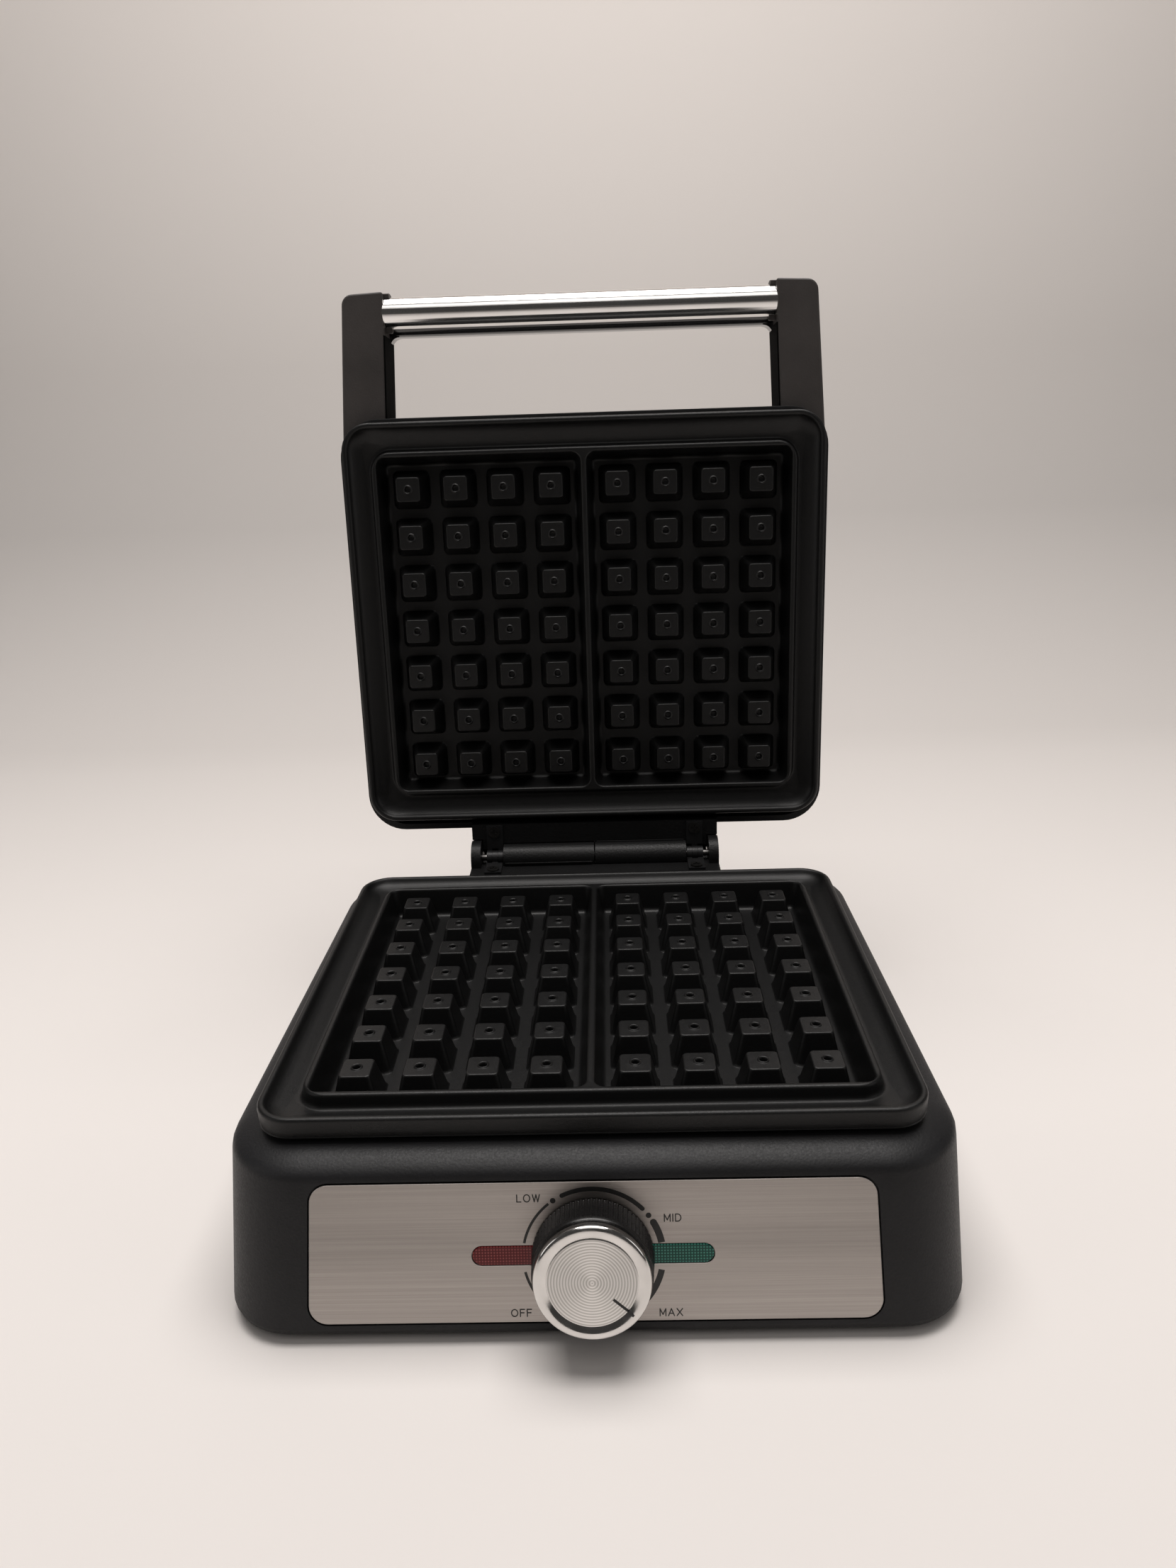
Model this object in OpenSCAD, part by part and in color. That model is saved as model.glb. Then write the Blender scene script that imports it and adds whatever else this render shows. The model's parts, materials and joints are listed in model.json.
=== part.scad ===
// Electric waffle maker, modelled open, in millimetres.
// +Z is up, the control panel faces -Y, and the base stands on z = 0.
// The lid parts are drawn closed and then swung open about the hinge axis.

/* [Waffle plates] */
// Distance between peg columns
peg_pitch_x = 22; // [21:0.1:22.5]
// Distance between peg rows
peg_pitch_y = 21.75; // [21:0.05:22]
// Distance between the two columns beside the divider
middle_pitch = 30.6; // [30:0.1:31.5]
// Side of a peg's flat top
peg_top = 10.8; // [9:0.1:12]
// Side of a peg where it meets the cavity floor
peg_base = 17; // [15:0.1:17.4]
// Height of a peg above the cavity floor
peg_height = 12; // [9:0.5:13]
// Overall width of a plate
plate_w = 221.2; // [220:0.1:223]
// Overall depth of a plate
plate_d = 188.9; // [188:0.1:190]
// Width over the inner rim around the cavities
rim_w = 195.4; // [194:0.1:196]
// Depth over the inner rim around the cavities
rim_d = 162.7; // [162:0.1:164]
// Gap between facing peg tops when the lid is closed
plate_gap = 3; // [2:0.1:4]

/* [Base] */
// Width of the base at its crease
base_w = 243; // [242:0.5:246]
// Extra width of the base at its bottom edge
base_flare = 2.4; // [0:0.2:4]
// Lean of the front face from the vertical, in degrees
front_lean = 14; // [10:1:16]
// Height of the crease between shoulder and front face
crease_z = 56; // [55:0.5:57]
// Height of the housing's bottom edge
housing_bottom_z = 5.5; // [5:0.5:6]
// Thickness of the moulded walls
wall = 3; // [2.5:0.1:3.2]
// Height of the lower peg tops above the table
peg_plane_z = 69; // [68.5:0.5:70]

/* [Lid] */
// How far the lid stands open, in degrees
open_angle = 94.8; // [0:0.1:95]
// Height of the lid housing above the upper peg tops
lid_height = 38; // [36:0.5:42]

/* [Handle] */
// Distance from the plate's middle to the handle's front end
handle_reach = 150; // [145:1:155]
// Half the distance between the arms' inner faces at their front ends
arm_inner = 88.2; // [86:0.1:89]
// Half the distance between the arms' outer faces at their front ends
arm_outer = 106.6; // [105:0.1:108]
// Diameter of the metal handle tube
tube_d = 13.4; // [12:0.2:13.6]

/* [Knob] */
// Diameter of the ribbed skirt at the panel
skirt_d = 39; // [37:0.5:40]
// Diameter of the polished cap
cap_d = 36.4; // [35:0.2:37]
// Height of the knob above the panel
knob_h = 16.4; // [15:0.2:18]
// Angle of the pointer, clockwise from the top, at its highest setting
pointer_angle = 130; // [120:1:135]

/* [Hinge] */
// Distance from the plate's middle back to the hinge axis
hinge_back = 114; // [113.5:0.1:114.5]
// Height of the hinge axis above the lower peg tops
hinge_rise = 1.2; // [1:0.1:1.6]
// Radius of the two big hinge barrels
barrel_r = 6.5; // [6:0.1:6.8]
// Radius of the hinge pins
pin_r = 1.6; // [1.5:0.05:1.7]

/* [Hidden] */

$fn = 64;
eps = 0.01;
hull_fn = 32;

// Y of the plates' middle, which puts the origin under the middle of the whole object
plate_y = -19.9;
// The peg rows sit this much nearer the hinge than the rims
row_shift = 0.75;
columns = 4;
rows = 7;

// Plate casting
rim_top = 0.8;
flange_drop = 6.8;
gutter_depth = 4.5;
outer_land = 2.2;
inner_land = 2.5;
plate_corner = 13;
rim_corner = 9;
floor_t = 3.5;
plate_under = peg_height + floor_t;
divider_t = 2.6;
pad_h = 0.9;
boss_x = 88;
boss_y = 72;
boss_r = 4.5;

// Base outline
shoulder_z = 60.5;
base_front = -104.4;
base_back = 119;
crease_r = 28;
bottom_r = 24;
deck_t = 2.5;
front_drop = crease_z - housing_bottom_z;
front_run = front_drop * tan(front_lean);
open_w = 208;
open_d = 176;
cover_z = 3.9;
post_x = 106;
post_front = -90;
post_back = 104;

// Reflector pan
pan_w = 206;
pan_d = 174;
pan_t = 0.8;
pan_depth = 20.5;
element_r = 3.5;
element_x = 66;
element_y = 48;
element_drop = plate_under + element_r + 0.1;

// Panel face, measured down from the crease
panel_top = 3.1;
panel_bottom = 49.5;
panel_half_top = 89.7;
panel_half_bottom = 91.5;
panel_corner = 6;
panel_t = 1.2;
panel_proud = 0.2;
knob_s = 27.7;
lamp_s = 27.2;
lamp_h = 6.3;
lamp_in = 17.2;
lamp_out = 38.4;
shaft_r = 3;
bush_r = 4.7;
skirt_h = 12.6;
disc_r = 14;
disc_recess = 0.9;

// Lid outline
lid_edge = 7.6;
lid_half_w = 113;
lid_front = -96.5;
lid_back = 101.4;
lid_corner = 18;

// Handle
arm_low = 8;
arm_high = 33;
arm_splay_in = 0.049;
arm_splay_out = 0.073;
arm_corner = 5;
end_slant = 0.6;
socket_depth = 8;
tube_reach = 142.3;
tube_level = 15;
cross_low = 22;
cross_front = 147;
cross_back = 133.5;
screw_x = 96;
// Height of each handle screw, and how far its head lies behind the lid's front edge
handle_screw_places = [[14, 4.15], [24, 5]];

// Hinge
hinge_y = plate_y + hinge_back;
hinge_z = peg_plane_z + hinge_rise;
face_gap = 2.2;
barrel_end = 45.2;
barrel_bore = 3;
cheek_in = 56.3;
block_half = 61;
block_front = -16.5;
block_rear = 7;
leaf_in = 45.7;
leaf_out = 53.7;
leaf_t = 1.2;
leaf_screw_y = -12.8;
leaf_screw_head = 0.7;
knuckle_r = 3.4;
lead_r = 2.4;
lead_hole_r = 2.6;
lead_x = 38;
lead_join = 19;
base_lead_y = -2.6;
lid_lead_y = -3.6;
// Height of the lead's way into the lid above the hinge axis, and in the lid's own frame
lid_lead_z = 16.8;
lead_entry_z = lid_lead_z + hinge_rise - plate_gap;

// ---------- shared shapes ----------

// Rounded rectangle between two y values, centred on x
module round_rect(w, y0, y1, r, fn = 64) {
    translate([-w / 2 + r, y0]) square([w - 2 * r, y1 - y0]);
    translate([-w / 2, y0 + r]) square([w, y1 - y0 - 2 * r]);
    for (x = [-w / 2 + r, w / 2 - r])
        for (y = [y0 + r, y1 - r])
            translate([x, y]) circle(r = r, $fn = fn);
}

module round_slab(w, d, r, z0, z1) {
    translate([0, 0, z0]) linear_extrude(z1 - z0) round_rect(w, -d / 2, d / 2, r);
}

// Thin slice of a housing outline, for hull()
module slice(w, y0, y1, r, z) {
    translate([0, 0, z]) linear_extrude(0.02) round_rect(w, y0, y1, r, hull_fn);
}

module four(x, y) {
    for (sx = [-1, 1])
        for (sy = [-1, 1])
            translate([sx * x, sy * y, 0]) children();
}

module sides() {
    for (s = [-1, 1]) scale([s, 1, 1]) children();
}

// Cylinder along X between two x values
module x_rod(r, x0, x1) {
    translate([x0, 0, 0]) rotate([0, 90, 0]) cylinder(r = r, h = x1 - x0);
}

module panhead_screw(head_r, head_h, shank_r, length) {
    slot = min(0.7, head_h * 0.6);
    difference() {
        cylinder(r = head_r, h = head_h);
        for (a = [0, 90])
            rotate(a) translate([-head_r * 0.6, -0.4, head_h - slot]) cube([head_r * 1.2, 0.8, 1]);
    }
    translate([0, 0, -length]) cylinder(r = shank_r, h = length + eps);
}

// Rounded wire path through points
module wire(points, r) {
    for (i = [0 : len(points) - 2])
        hull() {
            translate(points[i]) sphere(r = r, $fn = 8);
            translate(points[i + 1]) sphere(r = r, $fn = 8);
        }
}

// ---------- placement ----------

module at_plates() {
    translate([0, plate_y, 0]) children();
}

// Lower plate's own frame: z = 0 at the peg tops, +z towards the other plate
module at_lower_plate() {
    translate([0, plate_y, peg_plane_z]) children();
}

module swing_open() {
    translate([0, hinge_y, hinge_z]) rotate([-open_angle, 0, 0])
        translate([0, -hinge_y, -hinge_z]) children();
}

// Lid frame: z = 0 at the upper peg tops, +z away from the lower plate, drawn closed
module at_lid() {
    swing_open() translate([0, plate_y, peg_plane_z + plate_gap]) children();
}

module at_upper_plate() {
    at_lid() mirror([0, 0, 1]) children();
}

module at_hinge() {
    translate([0, hinge_y, hinge_z]) children();
}

module at_lid_hinge() {
    swing_open() at_hinge() children();
}

// Panel frame: x across, y up the leaning face, z straight out of it
module on_face(x = 0, down = 0) {
    translate([0, plate_y + base_front, crease_z]) rotate([90 - front_lean, 0, 0])
        translate([x, -down, 0]) children();
}

module on_knob() {
    on_face(0, knob_s) children();
}

// ---------- waffle plates ----------

function square_ring(side, cut, z) = let (h = side / 2, c = h - cut)
    [[h, -c, z], [h, c, z], [c, h, z], [-c, h, z], [-h, c, z], [-h, -c, z], [-c, -h, z], [c, -h, z]];

// Tapered peg with cut corners; it runs a little into the floor
module peg() {
    sink = 0.5;
    slope = (peg_base - peg_top) / peg_height;
    low = square_ring(peg_base + slope * sink, 1.6, -peg_height - sink);
    high = square_ring(peg_top, 1, 0);
    sides_of = [for (i = [0 : 7]) [i, (i + 1) % 8, 8 + (i + 1) % 8, 8 + i]];
    polyhedron(
        points = concat(low, high),
        faces = concat([[7, 6, 5, 4, 3, 2, 1, 0]], [[8, 9, 10, 11, 12, 13, 14, 15]],
            [for (s = sides_of) [s[3], s[2], s[1], s[0]]]),
        convexity = 2);
}

module waffle_plate() {
    half_cavity = (rim_w - 2 * inner_land - divider_t) / 2;
    difference() {
        union() {
            round_slab(plate_w, plate_d, plate_corner, -flange_drop, rim_top);
            round_slab(rim_w + 2, rim_d + 2, rim_corner + 1, -plate_under, -flange_drop + eps);
            four(boss_x, boss_y)
                translate([0, 0, -plate_under - pan_depth + 8.2]) cylinder(r = boss_r, h = 12.8);
            four(100, 84) translate([0, 0, -flange_drop - pad_h]) cylinder(r = 2, h = pad_h + eps);
        }
        // Gutter between the two rims
        difference() {
            round_slab(plate_w - 2 * outer_land, plate_d - 2 * outer_land,
                plate_corner - outer_land, -gutter_depth, rim_top + 1);
            round_slab(rim_w, rim_d, rim_corner, -gutter_depth - 1, rim_top + 2);
        }
        // The two cavities
        for (s = [-1, 1])
            translate([s * (half_cavity + divider_t) / 2, 0, 0])
                round_slab(half_cavity, rim_d - 2 * inner_land, 4, -peg_height, rim_top + 1);
        four(boss_x, boss_y)
            translate([0, 0, -plate_under - pan_depth + 8]) cylinder(r = 2.1, h = 10);
    }
    for (s = [-1, 1])
        for (c = [0 : columns - 1])
            for (r = [0 : rows - 1])
                translate([s * (middle_pitch / 2 + c * peg_pitch_x),
                           row_shift + (r - (rows - 1) / 2) * peg_pitch_y, 0])
                    peg();
}

// Rectangular loop of sheathed tube with two tails that run through the pan
module heating_element() {
    bend = 8;
    tail_x = 14;
    translate([0, 0, -element_drop]) {
        for (x = [-element_x, element_x])
            translate([x, -element_y + bend, 0]) rotate([-90, 0, 0])
                cylinder(r = element_r, h = 2 * (element_y - bend));
        translate([0, element_y, 0]) x_rod(element_r, -element_x + bend, element_x - bend);
        for (s = [-1, 1]) {
            translate([0, -element_y, 0])
                x_rod(element_r, s > 0 ? tail_x + bend : -element_x + bend,
                    s > 0 ? element_x - bend : -tail_x - bend);
            // Loop corners
            for (t = [-1, 1])
                translate([s * (element_x - bend), t * (element_y - bend), 0])
                    rotate([0, 0, s > 0 ? (t > 0 ? 0 : -90) : (t > 0 ? 90 : 180)])
                        rotate_extrude(angle = 90) translate([bend, 0]) circle(r = element_r);
            // Each tail turns down and ends in a thinner terminal pin
            translate([s * (tail_x + bend), -element_y, -bend])
                rotate([90, 0, 0]) rotate([0, 0, s > 0 ? 90 : 0])
                    rotate_extrude(angle = 90) translate([bend, 0]) circle(r = element_r);
            translate([s * tail_x, -element_y, -bend - 1]) cylinder(r = element_r, h = 1);
            translate([s * tail_x, -element_y, -bend - 6.5]) cylinder(r = 1.5, h = 6);
        }
    }
}

// Sheet metal tray that carries the plate on its flange
module reflector_pan() {
    top = -flange_drop - pad_h;
    floor_z = top - pan_t - pan_depth;
    difference() {
        union() {
            round_slab(pan_w + 6, pan_d + 6, 13, top - pan_t, top);
            round_slab(pan_w, pan_d, 10, floor_z, top - eps);
        }
        round_slab(pan_w - 2 * pan_t, pan_d - 2 * pan_t, 10 - pan_t, floor_z + pan_t, top + 1);
        four(boss_x, boss_y) translate([0, 0, floor_z - 1]) cylinder(r = 2.2, h = 4);
        for (x = [-14, 14]) translate([x, -element_y, floor_z - 1]) cylinder(r = 5, h = 4);
    }
}

module plate_screws() {
    floor_z = -flange_drop - pad_h - pan_t - pan_depth;
    four(boss_x, boss_y)
        translate([0, 0, floor_z]) rotate([180, 0, 0]) panhead_screw(4, 2.4, 2, 8);
}

// Flat tag under the pan, beside one plate screw
module earth_tag() {
    floor_z = -flange_drop - pad_h - pan_t - pan_depth;
    translate([boss_x - 19, -boss_y - 3, floor_z - 1]) cube([12, 6, 0.95]);
}

module thermal_fuse() {
    x_rod(2.6, -14, 14);
    x_rod(1.1, -20, 20);
}

module lower_plate() { color("#161515") at_lower_plate() waffle_plate(); }
module lower_element() { color("#6d6a66") at_lower_plate() heating_element(); }
module lower_pan() { color("#b9bbbd") at_lower_plate() reflector_pan(); }
module lower_plate_screws() { color("#c8c8c8") at_lower_plate() plate_screws(); }
module lower_earth_tag() { color("#c9b458") at_lower_plate() earth_tag(); }
module upper_plate() { color("#161515") at_upper_plate() waffle_plate(); }
module upper_element() { color("#6d6a66") at_upper_plate() heating_element(); }
module upper_pan() { color("#b9bbbd") at_upper_plate() reflector_pan(); }
module upper_plate_screws() { color("#c8c8c8") at_upper_plate() plate_screws(); }
module upper_earth_tag() { color("#c9b458") at_upper_plate() earth_tag(); }

// ---------- base ----------

// Solid inside the base's outer surface, or inside its inner surface with inset > 0
module base_solid(inset = 0, top_inset = 0, low = 0) {
    w = base_w - 2 * inset;
    f = base_front + inset;
    b = base_back - inset;
    hull() {
        slice(w + base_flare, f - front_run, b + base_flare / 2, bottom_r - inset,
            housing_bottom_z - low);
        slice(w, f, b, crease_r - inset, crease_z - top_inset);
        slice(w - 8, f + 4, b - 4, crease_r - 3 - inset, crease_z + 2.8 - top_inset);
        slice(w - 18, f + 9, b - 9, crease_r - 8 - inset, shoulder_z - 0.02 - top_inset);
    }
}

// Outline of the control panel, grown by a margin
module panel_outline(margin = 0) {
    r = panel_corner;
    hull() {
        for (s = [-1, 1]) {
            translate([s * (panel_half_top + margin - r), -panel_top + margin - r])
                circle(r = r, $fn = hull_fn);
            translate([s * (panel_half_bottom + margin - r), -panel_bottom - margin + r])
                circle(r = r, $fn = hull_fn);
        }
    }
}

// Slot for one lamp lens; its outer end is fully rounded
module lamp_slot(grow = 0) {
    r = lamp_h / 2 + grow;
    translate([lamp_out - lamp_h / 2, -lamp_s]) circle(r = r);
    translate([lamp_in - grow, -lamp_s - r]) square([lamp_out - lamp_h / 2 - lamp_in + grow, 2 * r]);
}

module base_housing() {
    color("#2b2b2e") difference() {
        union() {
            at_plates() difference() {
                base_solid();
                base_solid(wall, deck_t, 1);
            }
            intersection() {
                at_plates() for (s = [-1, 1])
                    for (y = [post_front, post_back])
                        translate([s * post_x, y, housing_bottom_z + 2]) cylinder(r = 4.5, h = 52);
                at_plates() base_solid(1);
            }
        }
        at_plates() translate([0, 0, shoulder_z - 8]) linear_extrude(10)
            round_rect(open_w, -open_d / 2, open_d / 2, 11);
        at_plates() for (s = [-1, 1])
            for (y = [post_front, post_back])
                translate([s * post_x, y, housing_bottom_z]) cylinder(r = 1.6, h = 22);
        on_face() translate([0, 0, -panel_t + panel_proud]) linear_extrude(5) panel_outline(0.6);
        on_face() translate([0, 0, -10]) linear_extrude(12) sides() lamp_slot(0.15);
        on_knob() translate([0, 0, -10]) cylinder(r = bush_r + 0.1, h = 12);
        // Pocket for the hinge block, and the cord gland's hole
        at_hinge() translate([-block_half - 0.05, block_front - 0.05, -15.25])
            cube([2 * block_half + 0.1, 40, 30]);
        translate([70, plate_y + base_back - 8, 22]) rotate([-90, 0, 0]) cylinder(r = 6.1, h = 14);
    }
}

module bottom_cover() {
    inset = 0.8;
    color("#1d1d1f") at_plates() difference() {
        union() {
            translate([0, 0, cover_z]) linear_extrude(housing_bottom_z - cover_z)
                round_rect(base_w + base_flare - 2 * inset, base_front - front_run + inset,
                    base_back + base_flare / 2 - inset, bottom_r - inset);
            translate([0, 0, housing_bottom_z - eps]) linear_extrude(1.6)
                round_rect(base_w - 2 * wall - 1.6, base_front - front_run + wall + 1.5,
                    base_back - wall - 0.8, bottom_r - wall - 1);
        }
        for (s = [-1, 1]) {
            for (y = [post_front, post_back])
                translate([s * post_x, y, 0]) {
                    cylinder(r = 2, h = 20);
                    cylinder(r = 4, h = cover_z + 1.4);
                }
            for (i = [0 : 7])
                translate([s * (20 + i * 6) - 1, -40, 0]) cube([2, 24, 12]);
        }
    }
}

module foot_places() {
    at_plates() for (s = [-1, 1])
        for (y = [-84, 92]) translate([s * 88, y, 0]) children();
}

module rubber_feet() {
    color("#141414") foot_places() {
        cylinder(r1 = 8.4, r2 = 9, h = 1.2);
        translate([0, 0, 1.2 - eps]) cylinder(r = 9, h = cover_z - 1.2 + eps);
    }
}

module bottom_screws() {
    color("#b5b5b5") at_plates() for (s = [-1, 1])
        for (y = [post_front, post_back])
            translate([s * post_x, y, cover_z + 1.35]) rotate([180, 0, 0])
                panhead_screw(3.6, 1.3, 1.5, 14);
}

module control_panel() {
    color("#b3aca4") difference() {
        on_face() translate([0, 0, -panel_t + panel_proud]) linear_extrude(panel_t) panel_outline();
        on_face() translate([0, 0, -3]) linear_extrude(6) sides() lamp_slot(0.15);
        on_knob() translate([0, 0, -3]) cylinder(r = bush_r + 0.1, h = 6);
    }
}

module lens_body() {
    on_face() translate([0, 0, -4.4]) linear_extrude(4.4 + panel_proud) lamp_slot();
}

module green_lamp_lens() { color("#1f6b4c") lens_body(); }
module red_lamp_lens() { color("#6e1516") scale([-1, 1, 1]) lens_body(); }

module lamp_carriers() {
    color("#e8e4da") sides() on_face(0, lamp_s) difference() {
        translate([18, -4.5, -13]) cube([20, 9, 8.5]);
        translate([0, 0, -8.7]) x_rod(2.9, 16, 36.5);
    }
}

module neon_lamps() {
    color("#d98c5a") sides() on_face(0, lamp_s) translate([0, 0, -8.7]) x_rod(2.5, 20, 35);
}

module thermostat() {
    color("#e2ddcf") on_knob() difference() {
        union() {
            translate([0, 0, -22]) cylinder(r = 14, h = 16.6);
            translate([0, 0, -5.5]) cylinder(r = bush_r, h = 8.7);
        }
        translate([0, 0, -16]) cylinder(r = shaft_r + 0.05, h = 24);
    }
}

module thermostat_bracket() {
    color("#a9abad") on_knob() difference() {
        translate([-14, -16, -5.3]) cube([28, 32, 1.5]);
        translate([0, 0, -6]) cylinder(r = bush_r + 0.1, h = 5);
    }
}

module thermostat_nut() {
    color("#c9c9c9") on_knob() difference() {
        translate([0, 0, panel_proud]) cylinder(r = 7, h = 2.3, $fn = 6);
        cylinder(r = bush_r + 0.03, h = 6);
    }
}

module thermostat_shaft() {
    color("#d0d0d0") on_knob() difference() {
        translate([0, 0, -15.8]) cylinder(r = shaft_r, h = 25.8);
        translate([-4, 1.6, 3.2]) cube([8, 4, 8]);
    }
}

module base_thermal_fuse() {
    color("#e6e0cc") at_plates() translate([0, 60, 34]) thermal_fuse();
}

module terminal_block() {
    color("#efe9d6") at_plates() difference() {
        translate([40, 66, 7.2]) cube([46, 18, 16]);
        for (i = [0 : 3])
            translate([46 + i * 11, 75, 12]) cylinder(r = 2.4, h = 20);
    }
}

module base_wiring() {
    r = 1.3;
    color("#f1efe8") {
        // Element tails, thermal fuse, thermostat, lamps and lead, all to the terminal block
        at_plates() wire([[-14, -48, 34], [-22, -20, 18], [-30, 30, 20], [-21.5, 60, 34]], r);
        at_plates() wire([[21.5, 60, 34], [34, 68, 22], [38.5, 73, 18]], r);
        at_plates() wire([[14, -48, 34], [40, -10, 16], [57, 40, 18], [57, 64.5, 16]], r);
        at_plates() wire([[12, -82, 24], [30, -50, 20], [48, 20, 12], [50, 64.5, 12]], r);
        at_plates() wire([[-38, 110, 42], [-10, 100, 30], [30, 92, 20], [62, 85.5, 18]], r);
        at_plates() wire([[70, 107, 22], [70, 95, 20], [70, 85.5, 16]], r);
    }
}

module cord_gland() {
    color("#161616") translate([70, plate_y + base_back, 22]) rotate([-90, 0, 0]) difference() {
        union() {
            translate([0, 0, -6]) cylinder(r = 6, h = 7.3);
            translate([0, 0, 1.2]) cylinder(r = 9, h = 2.3);
            translate([0, 0, -9]) cylinder(r = 9, h = 3 + eps);
        }
        translate([0, 0, -12]) cylinder(r = 3.6, h = 20);
    }
}

// ---------- hinge ----------

// Clearance for the other side's barrel on one side of the middle
module barrel_trough(x0, x1) {
    x_rod(barrel_r + 0.5, x0, x1);
}

module knuckle_trough() {
    sides() x_rod(knuckle_r + 0.8, barrel_end + 0.2, cheek_in - eps);
}

module base_hinge_block() {
    color("#1b1b1c") at_hinge() difference() {
        union() {
            difference() {
                translate([-block_half, block_front, -15.2])
                    cube([2 * block_half, block_rear - block_front, 15.2 - face_gap]);
                barrel_trough(-0.2, barrel_end + 0.4);
                knuckle_trough();
            }
            x_rod(barrel_r, -barrel_end, -0.3);
            translate([-barrel_end, -6, -4]) cube([barrel_end - 0.3, 12, 4]);
            sides() {
                x_rod(8.5, cheek_in, block_half);
                translate([cheek_in, -8.5, -8]) cube([block_half - cheek_in, 15.5, 8]);
            }
        }
        x_rod(barrel_bore, -barrel_end - 1, 0.5);
        sides() x_rod(pin_r + 0.02, cheek_in - 1, block_half + 1);
        translate([-lead_x, base_lead_y, -16]) cylinder(r = barrel_bore, h = 16);
    }
}

module lid_hinge_block() {
    lip_top = lid_edge - 0.05 + plate_gap - hinge_rise;
    tongue = hinge_back - lid_back - 0.05;
    color("#1b1b1c") at_lid_hinge() difference() {
        union() {
            difference() {
                union() {
                    translate([-block_half, block_front, face_gap])
                        cube([2 * block_half, -block_front, lip_top - face_gap]);
                    translate([-block_half, -tongue, face_gap])
                        cube([2 * block_half, tongue, 20]);
                }
                barrel_trough(-barrel_end - 0.4, 0.2);
                knuckle_trough();
                sides() x_rod(9, cheek_in - 0.5, block_half + 1);
            }
            x_rod(barrel_r, 0.3, barrel_end);
            translate([0.3, -6, 0]) cube([barrel_end - 0.3, 6, 5]);
        }
        x_rod(barrel_bore, -0.5, barrel_end + 1);
        translate([lead_x, lid_lead_y, 0]) cylinder(r = lead_hole_r, h = lid_lead_z + lead_hole_r);
        translate([lead_x, lid_lead_y, lid_lead_z]) rotate([90, 0, 0])
            cylinder(r = lead_hole_r, h = 12);
    }
}

// One flat leaf with its knuckles on the axis; up = 1 for the lid's leaf, -1 for the base's
module leaf(up, spans) {
    difference() {
        union() {
            translate([leaf_in, block_front + 0.4, up > 0 ? face_gap - leaf_t : -face_gap])
                cube([leaf_out - leaf_in, -block_front - 0.4 - knuckle_r - 1, leaf_t]);
            for (s = spans) {
                x_rod(knuckle_r, s[0], s[1]);
                translate([s[0], -knuckle_r - 1.5, up > 0 ? face_gap - leaf_t : -face_gap])
                    cube([s[1] - s[0], knuckle_r + 1.5, leaf_t]);
            }
        }
        x_rod(up > 0 ? pin_r + 0.05 : pin_r + 0.02, leaf_in - 1, leaf_out + 1);
        translate([(leaf_in + leaf_out) / 2, leaf_screw_y, -5]) cylinder(r = 1.6, h = 10);
    }
}

middle_span = [[leaf_in + 2.6, leaf_out - 2.6]];
outer_spans = [[leaf_in, leaf_in + 2.5], [leaf_out - 2.5, leaf_out]];

module base_hinge_leaves() {
    color("#3a3a3c") at_hinge() {
        leaf(-1, outer_spans);
        scale([-1, 1, 1]) leaf(-1, middle_span);
    }
}

module lid_hinge_leaves() {
    color("#3a3a3c") at_lid_hinge() {
        leaf(1, middle_span);
        scale([-1, 1, 1]) leaf(1, outer_spans);
    }
}

module base_hinge_screws() {
    color("#4a4a4c") at_hinge() sides()
        translate([(leaf_in + leaf_out) / 2, leaf_screw_y, -face_gap + leaf_t])
            panhead_screw(2.9, leaf_screw_head, 1.5, leaf_t);
}

module lid_hinge_screws() {
    color("#4a4a4c") at_lid_hinge() sides()
        translate([(leaf_in + leaf_out) / 2, leaf_screw_y, face_gap - leaf_t])
            rotate([180, 0, 0]) panhead_screw(2.9, leaf_screw_head, 1.5, leaf_t);
}

module hinge_pins() {
    color("#bdbdbd") at_hinge() sides() x_rod(pin_r, leaf_in - 0.1, block_half - 0.1);
}

// Lead from the base into the barrels, and its other half from the barrels into the lid
module hinge_lead() {
    color("#202020") at_hinge() {
        x_rod(lead_r, -lead_x, lead_join);
        translate([-lead_x, base_lead_y, -26]) cylinder(r = lead_r, h = 26);
    }
}

module lid_lead() {
    color("#202020") at_lid_hinge() {
        x_rod(lead_r, lead_join + 0.3, lead_x);
        translate([lead_x, lid_lead_y, 0]) cylinder(r = lead_r, h = lid_lead_z + lead_r);
        translate([lead_x, lid_lead_y, lid_lead_z]) rotate([90, 0, 0]) cylinder(r = lead_r, h = 12.7);
    }
}

// ---------- lid ----------

module lid_solid(inset = 0, low = 0) {
    w = 2 * (lid_half_w - inset);
    f = lid_front + inset;
    b = lid_back - inset;
    hull() {
        slice(w, f, b, lid_corner - inset, lid_edge + low);
        slice(w - 2, f + 1, b - 1, lid_corner - inset, lid_edge + 17 + low);
        slice(w - 8, f + 4, b - 4, lid_corner - 2 - inset, lid_height - 3 - inset);
        slice(w - 24, f + 12, b - 12, lid_corner - 6 - inset, lid_height - 0.02 - inset);
    }
}

module lid_housing() {
    color("#1e1e20") at_lid() difference() {
        lid_solid();
        lid_solid(wall, deck_t);
        translate([0, 0, lid_edge - 2]) linear_extrude(8)
            round_rect(open_w, -open_d / 2, open_d / 2, 11);
        // Rebate for the pan's rim
        round_slab(pan_w + 7, pan_d + 7, 14, lid_edge - 1, flange_drop + pad_h + pan_t + eps);
        // Screw holes behind each handle arm, and the hole for the lead
        sides() for (p = handle_screw_places)
            translate([screw_x, lid_front - 2, p[0]]) rotate([-90, 0, 0]) cylinder(r = 2.1, h = 8);
        translate([lead_x, lid_back - 6, lead_entry_z]) rotate([-90, 0, 0])
            cylinder(r = lead_hole_r, h = 8);
    }
}

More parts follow.
